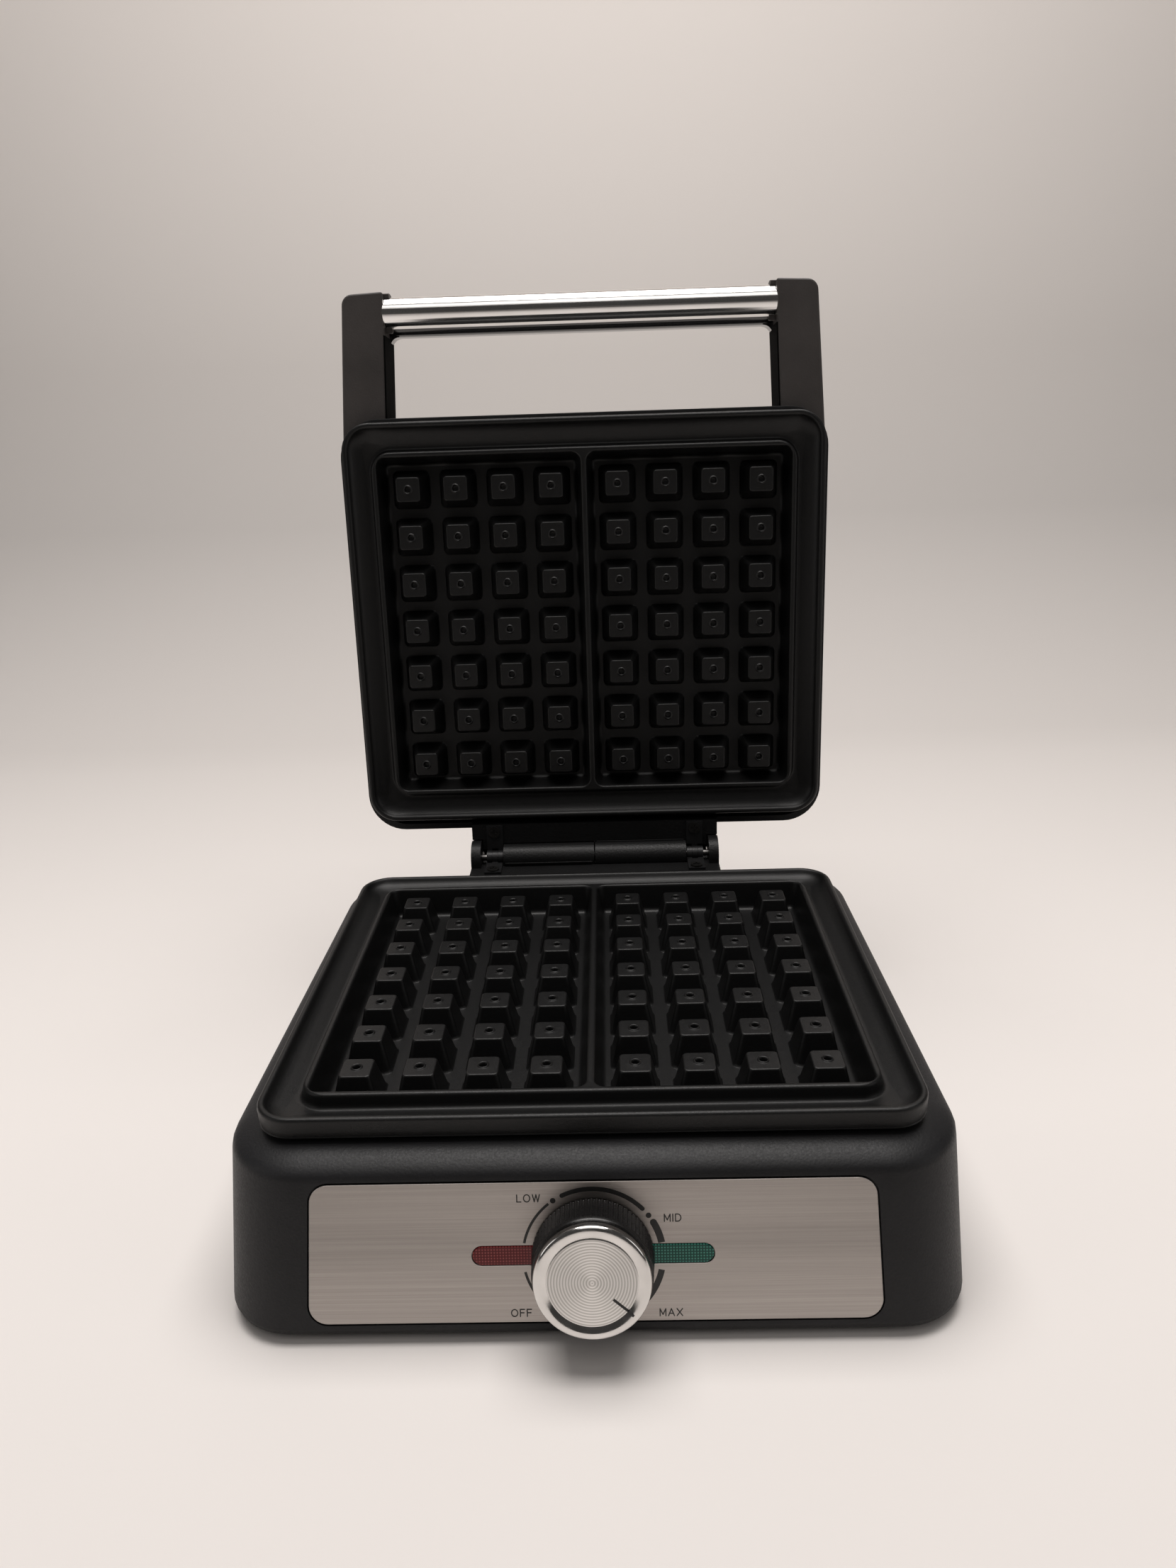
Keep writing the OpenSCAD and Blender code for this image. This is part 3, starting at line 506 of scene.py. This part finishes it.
def piece(name, source, at, look, body, stands_for=None, sharp=38, own_frame=False, weighted=True):
    """Puts a shape or mesh in the shared frame, in metres, with its finish, on its body.

    own_frame keeps the piece's own axes, for finishes that run round them.
    """
    mesh = source if isinstance(source, bpy.types.Mesh) else to_mesh(source, name)
    mesh.name = name
    if own_frame:
        mesh.transform(Matrix.Scale(MM, 4))
    else:
        mesh.transform(Matrix.Scale(MM, 4) @ at)
        if at.determinant() < 0:
            mesh.flip_normals()
    mesh.polygons.foreach_set("use_smooth", [True] * len(mesh.polygons))
    mesh.set_sharp_from_angle(angle=radians(sharp))
    mesh.materials.clear()
    mesh.materials.append(LOOKS[look])
    made = bpy.data.objects.new(name, mesh)
    bpy.context.scene.collection.objects.link(made)
    if own_frame:
        place = at.copy()
        place.translation = at.translation * MM
        made.matrix_world = place
    if weighted:
        even = made.modifiers.new("even", "WEIGHTED_NORMAL")
        even.keep_sharp = True
    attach(made, body)
    if stands_for:
        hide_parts(stands_for)


# ---------- waffle plates ----------
PEG_ROWS = [ROW_SHIFT + (i - 3) * PEG_PITCH_Y for i in range(7)]
PEG_COLUMNS = [side * (FIRST_COLUMN + PEG_PITCH_X * i) for side in (-1, 1) for i in range(4)]


def peg_shape():
    """Four-sided peg with soft corners and a small raised ring round a blind hole in its top."""
    n = 5
    made = Shape()
    # Half width, corner radius, height
    square = [(9.3, 2.6, -12.3), (8.75, 2.5, -12.0), (8.35, 2.4, -11.5), (8.1, 2.3, -10.9),
              (5.62, 1.5, -0.75), (5.5, 1.45, -0.35), (5.36, 1.4, -0.13), (5.14, 1.35, -0.02), (4.9, 1.3, 0)]
    # Radius, height
    dimple = [(2.25, 0.0), (2.1, 0.1), (1.95, 0.34), (1.72, 0.45), (1.5, 0.36), (1.32, 0.08),
              (1.25, -0.5), (1.12, -1.3), (0.8, -1.5)]
    made.stack([ring(2 * h, -h, h, r, z, n) for h, r, z in square]
               + [ring(2 * r, -r, r, r, z, n) for r, z in dimple])
    return made


def plate_shape():
    """Casting with a raised rim and two cavities of pegs; each ring is given by its inset and height."""
    n = 8
    made = Shape()

    def outer(o, z):
        return ring(221.2 - 2 * o, -94.45 + o, 94.45 - o, 13 - min(o, 11), z, n)

    def rim(o, z):
        return ring(195.4 - 2 * o, -81.35 + o, 81.35 - o, 9 - o, z, n)

    body = [rim(-1, -15.5), rim(-1, -6.8), outer(1.6, -6.8), outer(0.75, -6.75), outer(0.25, -6.4),
            outer(0.5, -6.0), outer(0.35, -5.8), outer(0.1, -4), outer(0, -0.6), outer(0.12, 0.1),
            outer(0.45, 0.55), outer(0.95, 0.77), outer(1.5, 0.8), outer(2.0, 0.68), outer(2.45, 0.3),
            outer(2.8, -0.4), outer(3.4, -1.3), outer(4.6, -2.2), outer(6.4, -2.95), outer(8.6, -3.6),
            rim(-3.1, -4.15), rim(-1.9, -4.4), rim(-1.1, -4.2), rim(-0.55, -3.6), rim(-0.3, -2.6),
            rim(0.0, -0.4), rim(0.16, 0.2), rim(0.5, 0.62), rim(0.95, 0.8)]
    _, top = made.stack(body, end=False)
    holes = []
    for side in (-1, 1):
        def cavity(o, z):
            return ring(93.9 - 2 * o, -78.85 + o, 78.85 - o, 4.2 - min(o, 3), z, n, side * 48.25)

        walls = [cavity(-0.75, 0.8), cavity(-0.3, 0.66), cavity(0.0, 0.3), cavity(0.2, -0.4),
                 cavity(2.0, -9.8), cavity(2.35, -10.9), cavity(3.0, -11.6), cavity(4.0, -12.0)]
        holes.append(made.stack(walls, start=False)[0])
    made.flat(top, *holes)
    peg = peg_shape()
    for x in PEG_COLUMNS:
        for y in PEG_ROWS:
            made.copy_at(move(x, y, 0), peg)
    return made


def plate_back(made):
    """Screw bosses and corner pads under the plate."""
    for sx in (-1, 1):
        for sy in (-1, 1):
            made.stack([circle(4.5, z, 32, sx * 88, sy * 72) for z in (-27.8, -15)])
            made.stack([circle(2, z, 24, sx * 100, sy * 84) for z in (-7.7, -6.5)])
    return made


piece("lower_waffle_plate", plate_back(plate_shape()), LOWER, "plate_casting", "base", "lower_plate")
piece("upper_waffle_plate", plate_back(plate_shape()), UPPER, "plate_casting", "lid", "upper_plate")


# ---------- base ----------
def base_ring(inset, z, n=10):
    """Outline of the base shell at height z: it widens to the front and to the foot."""
    below = max(0.0, (CREASE_Z - z) / (CREASE_Z - BOTTOM_Z))
    run = max(0.0, CREASE_Z - z) * tan(radians(LEAN))
    spots = ring(243 + 2.4 * below - 2 * inset, FRONT - run + inset, BACK + 1.2 * below - inset,
                 28 - 4 * below - inset * 0.8, z, n)
    # The sides draw in a little towards the back
    return [(x * (1 - SIDE_TAPER * max(0.0, y - FRONT) / (BACK - FRONT)), y, z) for x, y, z in spots]


def panel_outline(margin, r=6.0, steps=8):
    """Outline of the panel seen straight on: a little wider at its foot."""
    corners = [(89.7, -3.1, 0), (-89.7, -3.1, 90), (-91.5, -49.5, 180), (91.5, -49.5, 270)]
    spots = []
    for x, y, start in corners:
        cx = x - (r if x > 0 else -r)
        cy = y - (r if start < 180 else -r)
        for i in range(steps + 1):
            a = radians(start + 90 * i / steps)
            spots.append((cx + (r + margin) * cos(a), cy + (r + margin) * sin(a)))
    return spots


def slot_outline(side, grow=0.0, steps=12):
    """Lamp slot: square at the knob end, round at the outer end."""
    r = 3.15 + grow
    cx, inner = 38.4 - 3.15, 17.2 - grow
    spots = [(cx + r * cos(radians(a)), -LAMP_S + r * sin(radians(a)))
             for a in [-90 + 180 * i / steps for i in range(steps + 1)]]
    spots += [(inner, -LAMP_S + r), (inner, -LAMP_S - r)]
    return spots if side > 0 else [(-x, y) for x, y in spots][::-1]


def knife(outline, z0, z1, at):
    """Mesh of an outline drawn from z0 to z1, placed to cut with."""
    made = Shape()
    made.prism(outline, z0, z1)
    mesh = to_mesh(made, "knife")
    mesh.transform(at)
    return mesh


def housing_shape():
    """Base shell: up the outside, over the shoulder, down into the mouth and down the inside."""
    made = Shape()
    skin = [base_ring(3.4, BOTTOM_Z), base_ring(0.5, BOTTOM_Z), base_ring(0.12, BOTTOM_Z + 0.2),
            base_ring(0, BOTTOM_Z + 0.7), base_ring(0, 18), base_ring(0, 32), base_ring(0, 46),
            base_ring(0, 53.6), base_ring(0.1, 54.9), base_ring(0.5, 55.9), base_ring(1.3, 56.75),
            base_ring(2.6, 57.65), base_ring(4.6, 58.7), base_ring(6.8, 59.55), base_ring(9, 60.15),
            base_ring(11.5, 60.45), ring(209, -88.5, 88.5, 11.5, 60.5, 10), ring(208, -88, 88, 11, 60.0, 10),
            ring(208, -88, 88, 11, 58.0, 10), base_ring(9, 57.2), base_ring(4.2, 54.5), base_ring(3.2, 50),
            base_ring(3.2, BOTTOM_Z)]
    first, last = made.stack(skin, start=False, end=False)
    made.band(last, first)
    return made


def round_outline(r, cx, cy, n=32):
    return [(cx + r * cos(2 * pi * i / n), cy + r * sin(2 * pi * i / n)) for i in range(n)]


housing = to_mesh(housing_shape(), "housing")
housing.transform(BASE)
housing = cut(housing,
              knife(panel_outline(0.6), -1.1, 6, FACE),
              knife(slot_outline(1, 0.15), -9, 3, FACE),
              knife(slot_outline(-1, 0.15), -9, 3, FACE),
              knife(round_outline(4.9, 0, -KNOB_S), -9, 3, FACE),
              # The cord gland's hole, and the hinge's pocket
              knife(round_outline(6.1, 70, 22), -20, 20, move(0, PLATE_Y + BACK, 0) @ tilt(90)),
              knife([(-61.1, -16.6), (61.1, -16.6), (61.1, 26), (-61.1, 26)], -15.3, 12, HINGE))
piece("base_shell", housing, Matrix.Identity(4), "base_plastic", "base", "base_housing", sharp=32)


def panel_shape():
    """Sheet with a soft edge and holes for the knob's bush and the two lenses."""
    made = Shape()
    edges = [(-0.12, 0.2), (0.0, 0.1), (0.0, -1.0)]
    loops = [made.loop([(x, y, z) for x, y in panel_outline(m)]) for m, z in edges]
    for a, b in zip(loops, loops[1:]):
        made.band(a, b)
    made.bm.faces.new(loops[-1][::-1])
    holes = []
    for side in (-1, 1):
        top = made.loop([(x, y, 0.2) for x, y in slot_outline(side, 0.3)])
        edge = made.loop([(x, y, 0.1) for x, y in slot_outline(side, 0.18)])
        deep = made.loop([(x, y, -0.9) for x, y in slot_outline(side, 0.18)])
        made.band(top, edge)
        made.band(edge, deep)
        made.bm.faces.new(deep)
        holes.append(top)
    bush_top = made.loop(circle(5, 0.2, 40, 0, -KNOB_S))
    bush_low = made.loop(circle(5, -0.9, 40, 0, -KNOB_S))
    made.band(bush_top, bush_low)
    made.bm.faces.new(bush_low)
    made.flat(loops[0], *holes, bush_top)
    return made


piece("brushed_panel", panel_shape(), FACE, "panel_steel", "base", "control_panel", sharp=30)


def lens_shape(side):
    """Lens that fills its slot and stands a little proud, with a soft edge."""
    made = Shape()
    made.stack([[(x, y, z) for x, y in slot_outline(side, grow)]
                for grow, z in ((0.0, -4.4), (0.0, -0.1), (-0.12, 0.1), (-0.4, 0.2))])
    return made


piece("red_lens", lens_shape(-1), FACE, "red_lens", "base", "red_lamp_lens", sharp=30)
piece("green_lens", lens_shape(1), FACE, "green_lens", "base", "green_lamp_lens", sharp=30)


# ---------- dial marks ----------
def sector(made, start, stop, thick, r=DIAL_R, z=MARK_Z, round_ends=(True, True)):
    """Flat arc with round or square ends; angles run clockwise from the top."""
    points = []
    h = thick / 2
    a, b = radians(90 - start), radians(90 - stop)
    steps = max(6, int((stop - start) / 3))
    for i in range(steps + 1):
        t = a + (b - a) * i / steps
        points.append(((r + h) * cos(t), (r + h) * sin(t)))
    if round_ends[1]:
        for i in range(1, 8):
            t = b - pi * i / 8
            points.append((r * cos(b) + h * cos(t), r * sin(b) + h * sin(t)))
    for i in range(steps + 1):
        t = b + (a - b) * i / steps
        points.append(((r - h) * cos(t), (r - h) * sin(t)))
    if round_ends[0]:
        for i in range(1, 8):
            t = a + pi - pi * i / 8
            points.append((r * cos(a) + h * cos(t), r * sin(a) + h * sin(t)))
    made.bm.faces.new([made.bm.verts.new((x, y - KNOB_S, z)) for x, y in points])


marks = Shape()
sector(marks, -124, -103, 0.85, round_ends=(False, False))
sector(marks, -78, -38, 0.85, round_ends=(False, False))
sector(marks, -25, 46, 1.45)
sector(marks, 60.5, 79, 2.2, round_ends=(True, False))
sector(marks, 102.5, 131, 2.0, round_ends=(False, False))
for angle, size in ((-33.5, 0.9), (53.5, 0.9)):
    t = radians(90 - angle)
    marks.bm.faces.new(marks.loop(circle(size, MARK_Z, 20, DIAL_R * cos(t), DIAL_R * sin(t) - KNOB_S)))
piece("dial_marks", marks, FACE, "pointer_paint", "base", weighted=False)


def oval(w, start, stop, x=0.0):
    """Points of a letter's round part in a box w wide and 1 high."""
    return [(x + w / 2 + w / 2 * cos(radians(a)), 0.5 + 0.5 * sin(radians(a)))
            for a in range(start, stop + 1, 15)]


# Each letter's width and strokes, for a height of 1
STROKES = {
    "A": (0.8, [[(0, 0), (0.4, 1), (0.8, 0)], [(0.14, 0.34), (0.66, 0.34)]]),
    "D": (0.72, [[(0, 0), (0, 1)] + oval(0.84, -90, 90, -0.12)[::-1] + [(0, 0)]]),
    "F": (0.58, [[(0, 0), (0, 1), (0.58, 1)], [(0, 0.52), (0.5, 0.52)]]),
    "I": (0.0, [[(0, 0), (0, 1)]]),
    "L": (0.55, [[(0, 1), (0, 0), (0.55, 0)]]),
    "M": (0.78, [[(0, 0), (0, 1), (0.39, 0.2), (0.78, 1), (0.78, 0)]]),
    "O": (0.84, [oval(0.84, 0, 360)]),
    "W": (0.95, [[(0, 1), (0.24, 0), (0.475, 1), (0.71, 0), (0.95, 1)]]),
    "X": (0.74, [[(0, 0), (0.74, 1)], [(0, 1), (0.74, 0)]]),
}


def label(text, x, s, height=2.35, thick=0.36, gap=0.36):
    """Plain printed word, one even stroke thick, centred on x with its top at s."""
    made = Shape()
    along = -(sum(STROKES[c][0] for c in text) + gap * (len(text) - 1)) / 2
    layer = MARK_Z
    for c in text:
        for stroke in STROKES[c][1]:
            points = [Vector((x + (along + a) * height, -s - height + b * height)) for a, b in stroke]
            for p, q in zip(points, points[1:]):
                turn = atan2(q.y - p.y, q.x - p.x)
                rim = [q + Vector((cos(turn + radians(a)), sin(turn + radians(a)))) * (thick / 2)
                       for a in range(-90, 91, 30)]
                rim += [p + Vector((cos(turn + radians(a)), sin(turn + radians(a)))) * (thick / 2)
                        for a in range(90, 271, 30)]
                made.bm.faces.new(made.loop([(v.x, v.y, layer) for v in rim]))
                # Each stroke lies a hair above the last, so that no two faces share a plane
                layer += 0.0015
        along += STROKES[c][0] + gap
    piece("label_" + text.lower(), made, FACE, "pointer_paint", "base", weighted=False)


label("LOW", -20.0, 7.1)
label("MID", 25.4, 14.2)
label("OFF", -23.3, 45.2)
label("MAX", 24.4, 45.6)


# ---------- knob ----------
def skirt_shape(ribs=72, per=6):
    """Ribbed skirt: each rib is a rounded tooth that fades out below the cap."""
    n = ribs * per
    made = Shape()
    # Height, radius, depth of the grooves
    rows = [(0.6, 18.9, 0.0), (0.6, 19.35, 0.5), (0.75, 19.5, 1.0), (4, 19.3, 1.0), (8, 19.05, 1.0),
            (10.3, 18.92, 1.0), (10.8, 18.9, 0.75), (11.05, 18.9, 0.0), (11.3, 18.88, 0.0), (12.3, 18.8, 0.0),
            (12.6, 18.55, 0.0)]
    rings = []
    for z, r, tooth in rows:
        loop = []
        for i in range(n):
            wave = (0.5 - 0.5 * cos(2 * pi * (i % per) / per)) * 0.8 * tooth
            a = 2 * pi * i / n
            loop.append(((r - wave) * cos(a), (r - wave) * sin(a), z))
        rings.append(loop)
    inside = [circle(q, z, n) for q, z in ((16.8, 12.6), (16.8, 10.6), (17.1, 0.6))]
    first, last = made.stack(rings + inside, start=False, end=False)
    made.band(last, first)
    made.spin([(0.0, 11.9), (17, 11.9), (17, 10.2), (0.0, 10.2)], 72)
    made.spin([(5.6, 3.4), (5.6, 10.4), (3.2, 10.4), (3.2, 3.4)], 48, cap=True)
    return made


piece("ribbed_skirt", skirt_shape(), KNOB, "knob_plastic", "knob", "knob_skirt", sharp=50, own_frame=True)

cap = Shape()
cap.spin([(0, 12.7), (17.2, 12.7), (17.7, 12.75), (18.05, 12.95), (18.2, 13.3), (18.2, 15.2),
          (18.12, 15.62), (17.9, 15.98), (17.5, 16.2), (17.0, 16.32), (16.3, 16.38), (15.7, 16.3),
          (15.2, 16.12), (14.7, 15.9), (14.3, 15.72), (14.1, 15.6), (14.1, 15.3), (0, 15.3)], 128)
piece("polished_cap", cap, KNOB, "cap_chrome", "knob", "knob_cap", sharp=50, own_frame=True)

disc = Shape()
grooves = [(0.0, 15.82)]
for k in range(1, 64):
    grooves.append((k * 0.2172, 15.82 + (0.012 if k % 2 else -0.012)))
grooves += [(13.85, 15.82), (14.0, 15.74), (14.0, 15.25), (0, 15.25)]
disc.spin(grooves, 128)
piece("spun_disc", disc, KNOB, "disc_aluminium", "knob", "knob_disc", sharp=60, own_frame=True,
      weighted=False)

pointer = Shape()
pointer.block(-0.42, 0.42, 8.2, 16.2, 15.7, 15.92, 0.08, 2)
pointer.block(-0.42, 0.42, 13.9, 16.2, 16.0, 16.42, 0.08, 2)
turned = Shape()
turned.copy_at(Matrix.Rotation(radians(POINTER_TURN), 4, "Z"), pointer)
piece("pointer_line", turned, KNOB, "pointer_paint", "knob", "knob_pointer", own_frame=True)


# ---------- lid ----------
def lid_ring(inset, z, n=10):
    """Outline of the lid shell, drawn in by inset, at height z."""
    return ring(226 - 2 * inset, -96.5 + inset, 101.4 - inset, 18 - inset * 0.5, z, n)


def lid_shape():
    """Lid shell with a fine groove round its outer face, and its inside."""
    made = Shape()
    skin = [lid_ring(3, LID_EDGE), lid_ring(0.6, LID_EDGE), lid_ring(0.15, LID_EDGE + 0.2),
            lid_ring(0, LID_EDGE + 0.7), lid_ring(0.4, 17), lid_ring(1, 25.5), lid_ring(1.7, 30),
            lid_ring(3, 33.4), lid_ring(4.9, 35.6), lid_ring(7.4, 37), lid_ring(10.5, 37.7),
            lid_ring(14, 37.95), lid_ring(19, LID_TOP), lid_ring(19.5, 37.8), lid_ring(19.8, 37.2),
            lid_ring(21.2, 37.2), lid_ring(21.5, 37.8), lid_ring(22, LID_TOP), lid_ring(30, LID_TOP)]
    made.stack(skin, start=False)
    inside = [lid_ring(3, LID_EDGE), lid_ring(3.4, 25), lid_ring(6.5, 33), lid_ring(14, 35.4)]
    made.stack(inside, start=False)
    return made


piece("lid_shell", lid_shape(), LID, "lid_plastic", "lid", "lid_housing", sharp=35)


# ---------- handle ----------
def arm_in(y):
    """Half width over the arms' inner faces."""
    return ARM_IN + (y - TIP) * SPLAY_IN


def arm_out(y):
    """Half width over the arms' outer faces."""
    return ARM_OUT + (y - TIP) * SPLAY_OUT


def mirrored(shape):
    """The same shape for the left side."""
    turned = Shape()
    turned.copy_at(Matrix.Scale(-1, 4, (1, 0, 0)), shape)
    return turned


def arm_shape():
    """Right arm: it splays towards the lid, and a collar curls round the back of the tube's end."""
    made = Shape()
    cx, cy = arm_out(TIP + ARM_CORNER) - ARM_CORNER, TIP + ARM_CORNER
    outline = [(arm_in(ARM_ROOT), ARM_ROOT), (arm_in(TIP), TIP - 0.6)]
    outline += [(cx + ARM_CORNER * sin(radians(a)), cy - ARM_CORNER * cos(radians(a)))
                for a in range(6, 91, 12)]
    outline += [(arm_out(ARM_ROOT), ARM_ROOT)]
    made.prism(outline, ARM_LOW, ARM_HIGH, 1.0, 3)
    collar = []
    turns = [radians(-25 + 10 * i) for i in range(22)]
    for shrink, x in ((0.3, ARM_IN - 2.3), (0.0, ARM_IN - 2.0), (0.0, ARM_IN + 3)):
        r = COLLAR_R - shrink
        outer = [(-TUBE_REACH - r * cos(a), TUBE_LEVEL + r * sin(a)) for a in turns]
        inner = [(-TUBE_REACH - TUBE_R * cos(a), TUBE_LEVEL + TUBE_R * sin(a)) for a in reversed(turns)]
        collar.append([(x, y, z) for y, z in outer + inner])
    made.stack(collar)
    return made


piece("arm_right", arm_shape(), LID, "handle_plastic", "lid", "right_handle_arm", sharp=40)
piece("arm_left", mirrored(arm_shape()), LID, "handle_plastic", "lid", "left_handle_arm", sharp=40)


def cross_bar_shape():
    """Glossy bar behind the tube; its edge towards the lid is a large soft round that catches the light."""
    made = Shape()
    low, high, small, big = 22, 32, 1.4, 4.5
    section = []
    corners = [(CROSS_BACK - big, low + big, big, -90), (CROSS_BACK - small, high - small, small, 0),
               (CROSS_FRONT + small, high - small, small, 90), (CROSS_FRONT + small, low + small, small, 180)]
    for cy, cz, r, start in corners:
        section += [(cy + r * cos(radians(start + a)), cz + r * sin(radians(start + a)))
                    for a in range(0, 91, 10)]
    made.stack([[(side * (arm_in(y) - 0.02), y, z) for y, z in section] for side in (-1, 1)])
    edge, bend = arm_in(CROSS_BACK), 4.5
    fillet = [(edge, CROSS_BACK - 0.5), (edge, CROSS_BACK + bend)]
    fillet += [(edge - bend + bend * cos(radians(a)), CROSS_BACK + bend - bend * sin(radians(a)))
               for a in range(15, 91, 15)]
    corner = Shape()
    corner.prism(fillet + [(edge - bend, CROSS_BACK - 0.5)], 24.5, 31)
    made.copy_at(Matrix.Identity(4), corner)
    made.copy_at(Matrix.Scale(-1, 4, (1, 0, 0)), corner)
    return made


def shade_strip_shape():
    """Dull black strip set against the inner face of the right arm: painted shade, standing for the shadow on
    that face.
    """
    made = Shape()
    top, foot = CROSS_BACK + 1, -94
    made.prism([(arm_in(top) + 0.5, top), (arm_in(foot) + 0.5, foot), (arm_in(foot) - 0.6, foot),
                (arm_in(top) - 0.6, top)], 9.2, 31.8, 0.25, 2)
    return made


piece("cross_bar", cross_bar_shape(), LID, "bar_plastic", "lid", "handle_cross_bar", sharp=40)
# Black strips of painted shade where the arms' inner faces fall in shadow.
piece("painted_shade_strip_right", shade_strip_shape(), LID, "dull_black", "lid")
piece("painted_shade_strip_left", mirrored(shade_strip_shape()), LID, "dull_black", "lid")

tube = Shape()
tube.rod(TUBE_R, -ARM_IN - 7.5, ARM_IN + 7.5, -TUBE_REACH, TUBE_LEVEL, 96)
piece("grip_tube", tube, LID, "tube_chrome", "lid", "handle_tube", sharp=40)


# ---------- edges and ridges on the hinge ----------
for name in ("base_hinge_block", "lid_hinge_block", "base_hinge_leaves", "lid_hinge_leaves"):
    edge = frame["nodes"][name].modifiers.new("edge", "BEVEL")
    edge.width, edge.segments, edge.limit_method, edge.angle_limit = 0.35 * MM, 2, "ANGLE", radians(50)
for name, node in frame["nodes"].items():
    node.data.polygons.foreach_set("use_smooth", [True] * len(node.data.polygons))
    node.data.set_sharp_from_angle(angle=radians(35))

for name, at, body, spans in (("barrel_ridge_left", HINGE, "base", (-44.4, -1.2, -7.15, -6.35, -1.1, -0.3)),
                              ("barrel_ridge_right", LID_HINGE, "lid", (1.2, 44.4, -7.15, -6.35, 0.3, 1.1))):
    ridge = Shape()
    ridge.block(*spans, 0.25, 2)
    piece(name, ridge, at, "hinge_plastic", body)


# ---------- floor, lights and camera ----------
def backdrop():
    """Floor that sweeps up into a wall, in metres; its colour is painted light and shade: palest on the
    floor, darker past the bend and up the lower wall, and paler again towards the top.
    """
    made = Shape()
    far_end, bend_y, bend_r = 4.0, 0.45, 0.9
    profile = [(-far_end, 0.0), (bend_y, 0.0)]
    profile += [(bend_y + bend_r * sin(radians(a)), bend_r - bend_r * cos(radians(a)))
                for a in range(6, 91, 6)]
    profile += [(bend_y + bend_r, far_end)]
    left = [made.bm.verts.new((-far_end, y, z)) for y, z in profile]
    right = [made.bm.verts.new((far_end, y, z)) for y, z in profile]
    for i in range(len(profile) - 1):
        made.bm.faces.new((left[i], right[i], right[i + 1], left[i + 1]))
    mesh = bpy.data.meshes.new("backdrop")
    made.bm.to_mesh(mesh)
    mesh.polygons.foreach_set("use_smooth", [True] * len(mesh.polygons))
    look = Look("paper", (0.8, 0.765, 0.745), 0.85, Specular_IOR_Level=0.2)
    parts = look.node("ShaderNodeSeparateXYZ", Vector=look.place)
    painted_shade_depth = look.math("MULTIPLY", look.math("MAXIMUM", parts.outputs["Y"], 0.0), 0.055)
    height = look.math("ADD", parts.outputs["Z"], painted_shade_depth)
    # Painted shade and light: the colour darkens with height and with depth past the bend, then pales towards
    # the top of the wall.
    shades = [(0.0, (0.74, 0.706, 0.684)), (0.03, (0.54, 0.513, 0.494)), (0.2, (0.43, 0.408, 0.392)),
              (0.4, (0.48, 0.453, 0.433)), (0.95, (0.78, 0.735, 0.702))]
    look.link(look.ramp(height, shades), "Base Color")
    look.bump(look.noise(700, 3), 0.02)
    mesh.materials.append(look.mat)
    made = bpy.data.objects.new("backdrop", mesh)
    bpy.context.scene.collection.objects.link(made)


backdrop()


def lamp(name, place, aim, size, watts, size_y=None):
    """Warm soft area lamp, in metres and watts."""
    data = bpy.data.lights.new(name, "AREA")
    data.energy, data.color, data.size = watts, WARM, size
    if size_y:
        data.shape, data.size_y = "RECTANGLE", size_y
    made = bpy.data.objects.new(name, data)
    made.location = place
    made.rotation_mode = "QUATERNION"
    made.rotation_quaternion = (Vector(aim) - Vector(place)).to_track_quat("-Z", "Y")
    bpy.context.scene.collection.objects.link(made)


WARM = (1, 0.965, 0.94)
lamp("top", (0, 0.17, 1.6), (0, -0.1, 0), 1.3, 27.5, 1.0)
lamp("front_floor", (0, -1.0, 1.5), (0, -0.75, 0), 0.9, 3.5)
lamp("back_wall", (0.0, 0.3, 1.9), (0, 1.35, 1.5), 1.4, 9.5)
for side in (-1, 1):
    lamp("side", (1.3 * side, -0.55, 0.55), (0, -0.05, 0.12), 0.7, 1.6)
world = bpy.data.worlds.new("room")
world.use_nodes = True
world.node_tree.nodes["Background"].inputs["Color"].default_value = (0.8, 0.76, 0.73, 1)
world.node_tree.nodes["Background"].inputs["Strength"].default_value = 0.06
bpy.context.scene.world = world
bpy.context.scene.view_settings.view_transform = "Standard"

# The camera looks down at the front, turned and rolled slightly
yaw, pitch, roll = radians(-1.4242), radians(19.5457), radians(-1.89)
ahead = Vector((sin(yaw) * cos(pitch), cos(yaw) * cos(pitch), -sin(pitch)))
level = Vector((cos(yaw), -sin(yaw), 0))
upward = level.cross(ahead)
right = cos(roll) * level + sin(roll) * upward
top = -sin(roll) * level + cos(roll) * upward
camera = bpy.data.objects.new("camera", bpy.data.cameras.new("camera"))
camera.data.lens, camera.data.sensor_width = 24.98, 36
camera.data.clip_start, camera.data.clip_end = 0.02, 20
turn = Matrix((right, top, -ahead)).transposed().to_4x4()
turn.translation = Vector((10.16, -385.93 + PLATE_Y, 285.4)) * MM
camera.matrix_world = turn
bpy.context.scene.collection.objects.link(camera)
bpy.context.scene.camera = camera
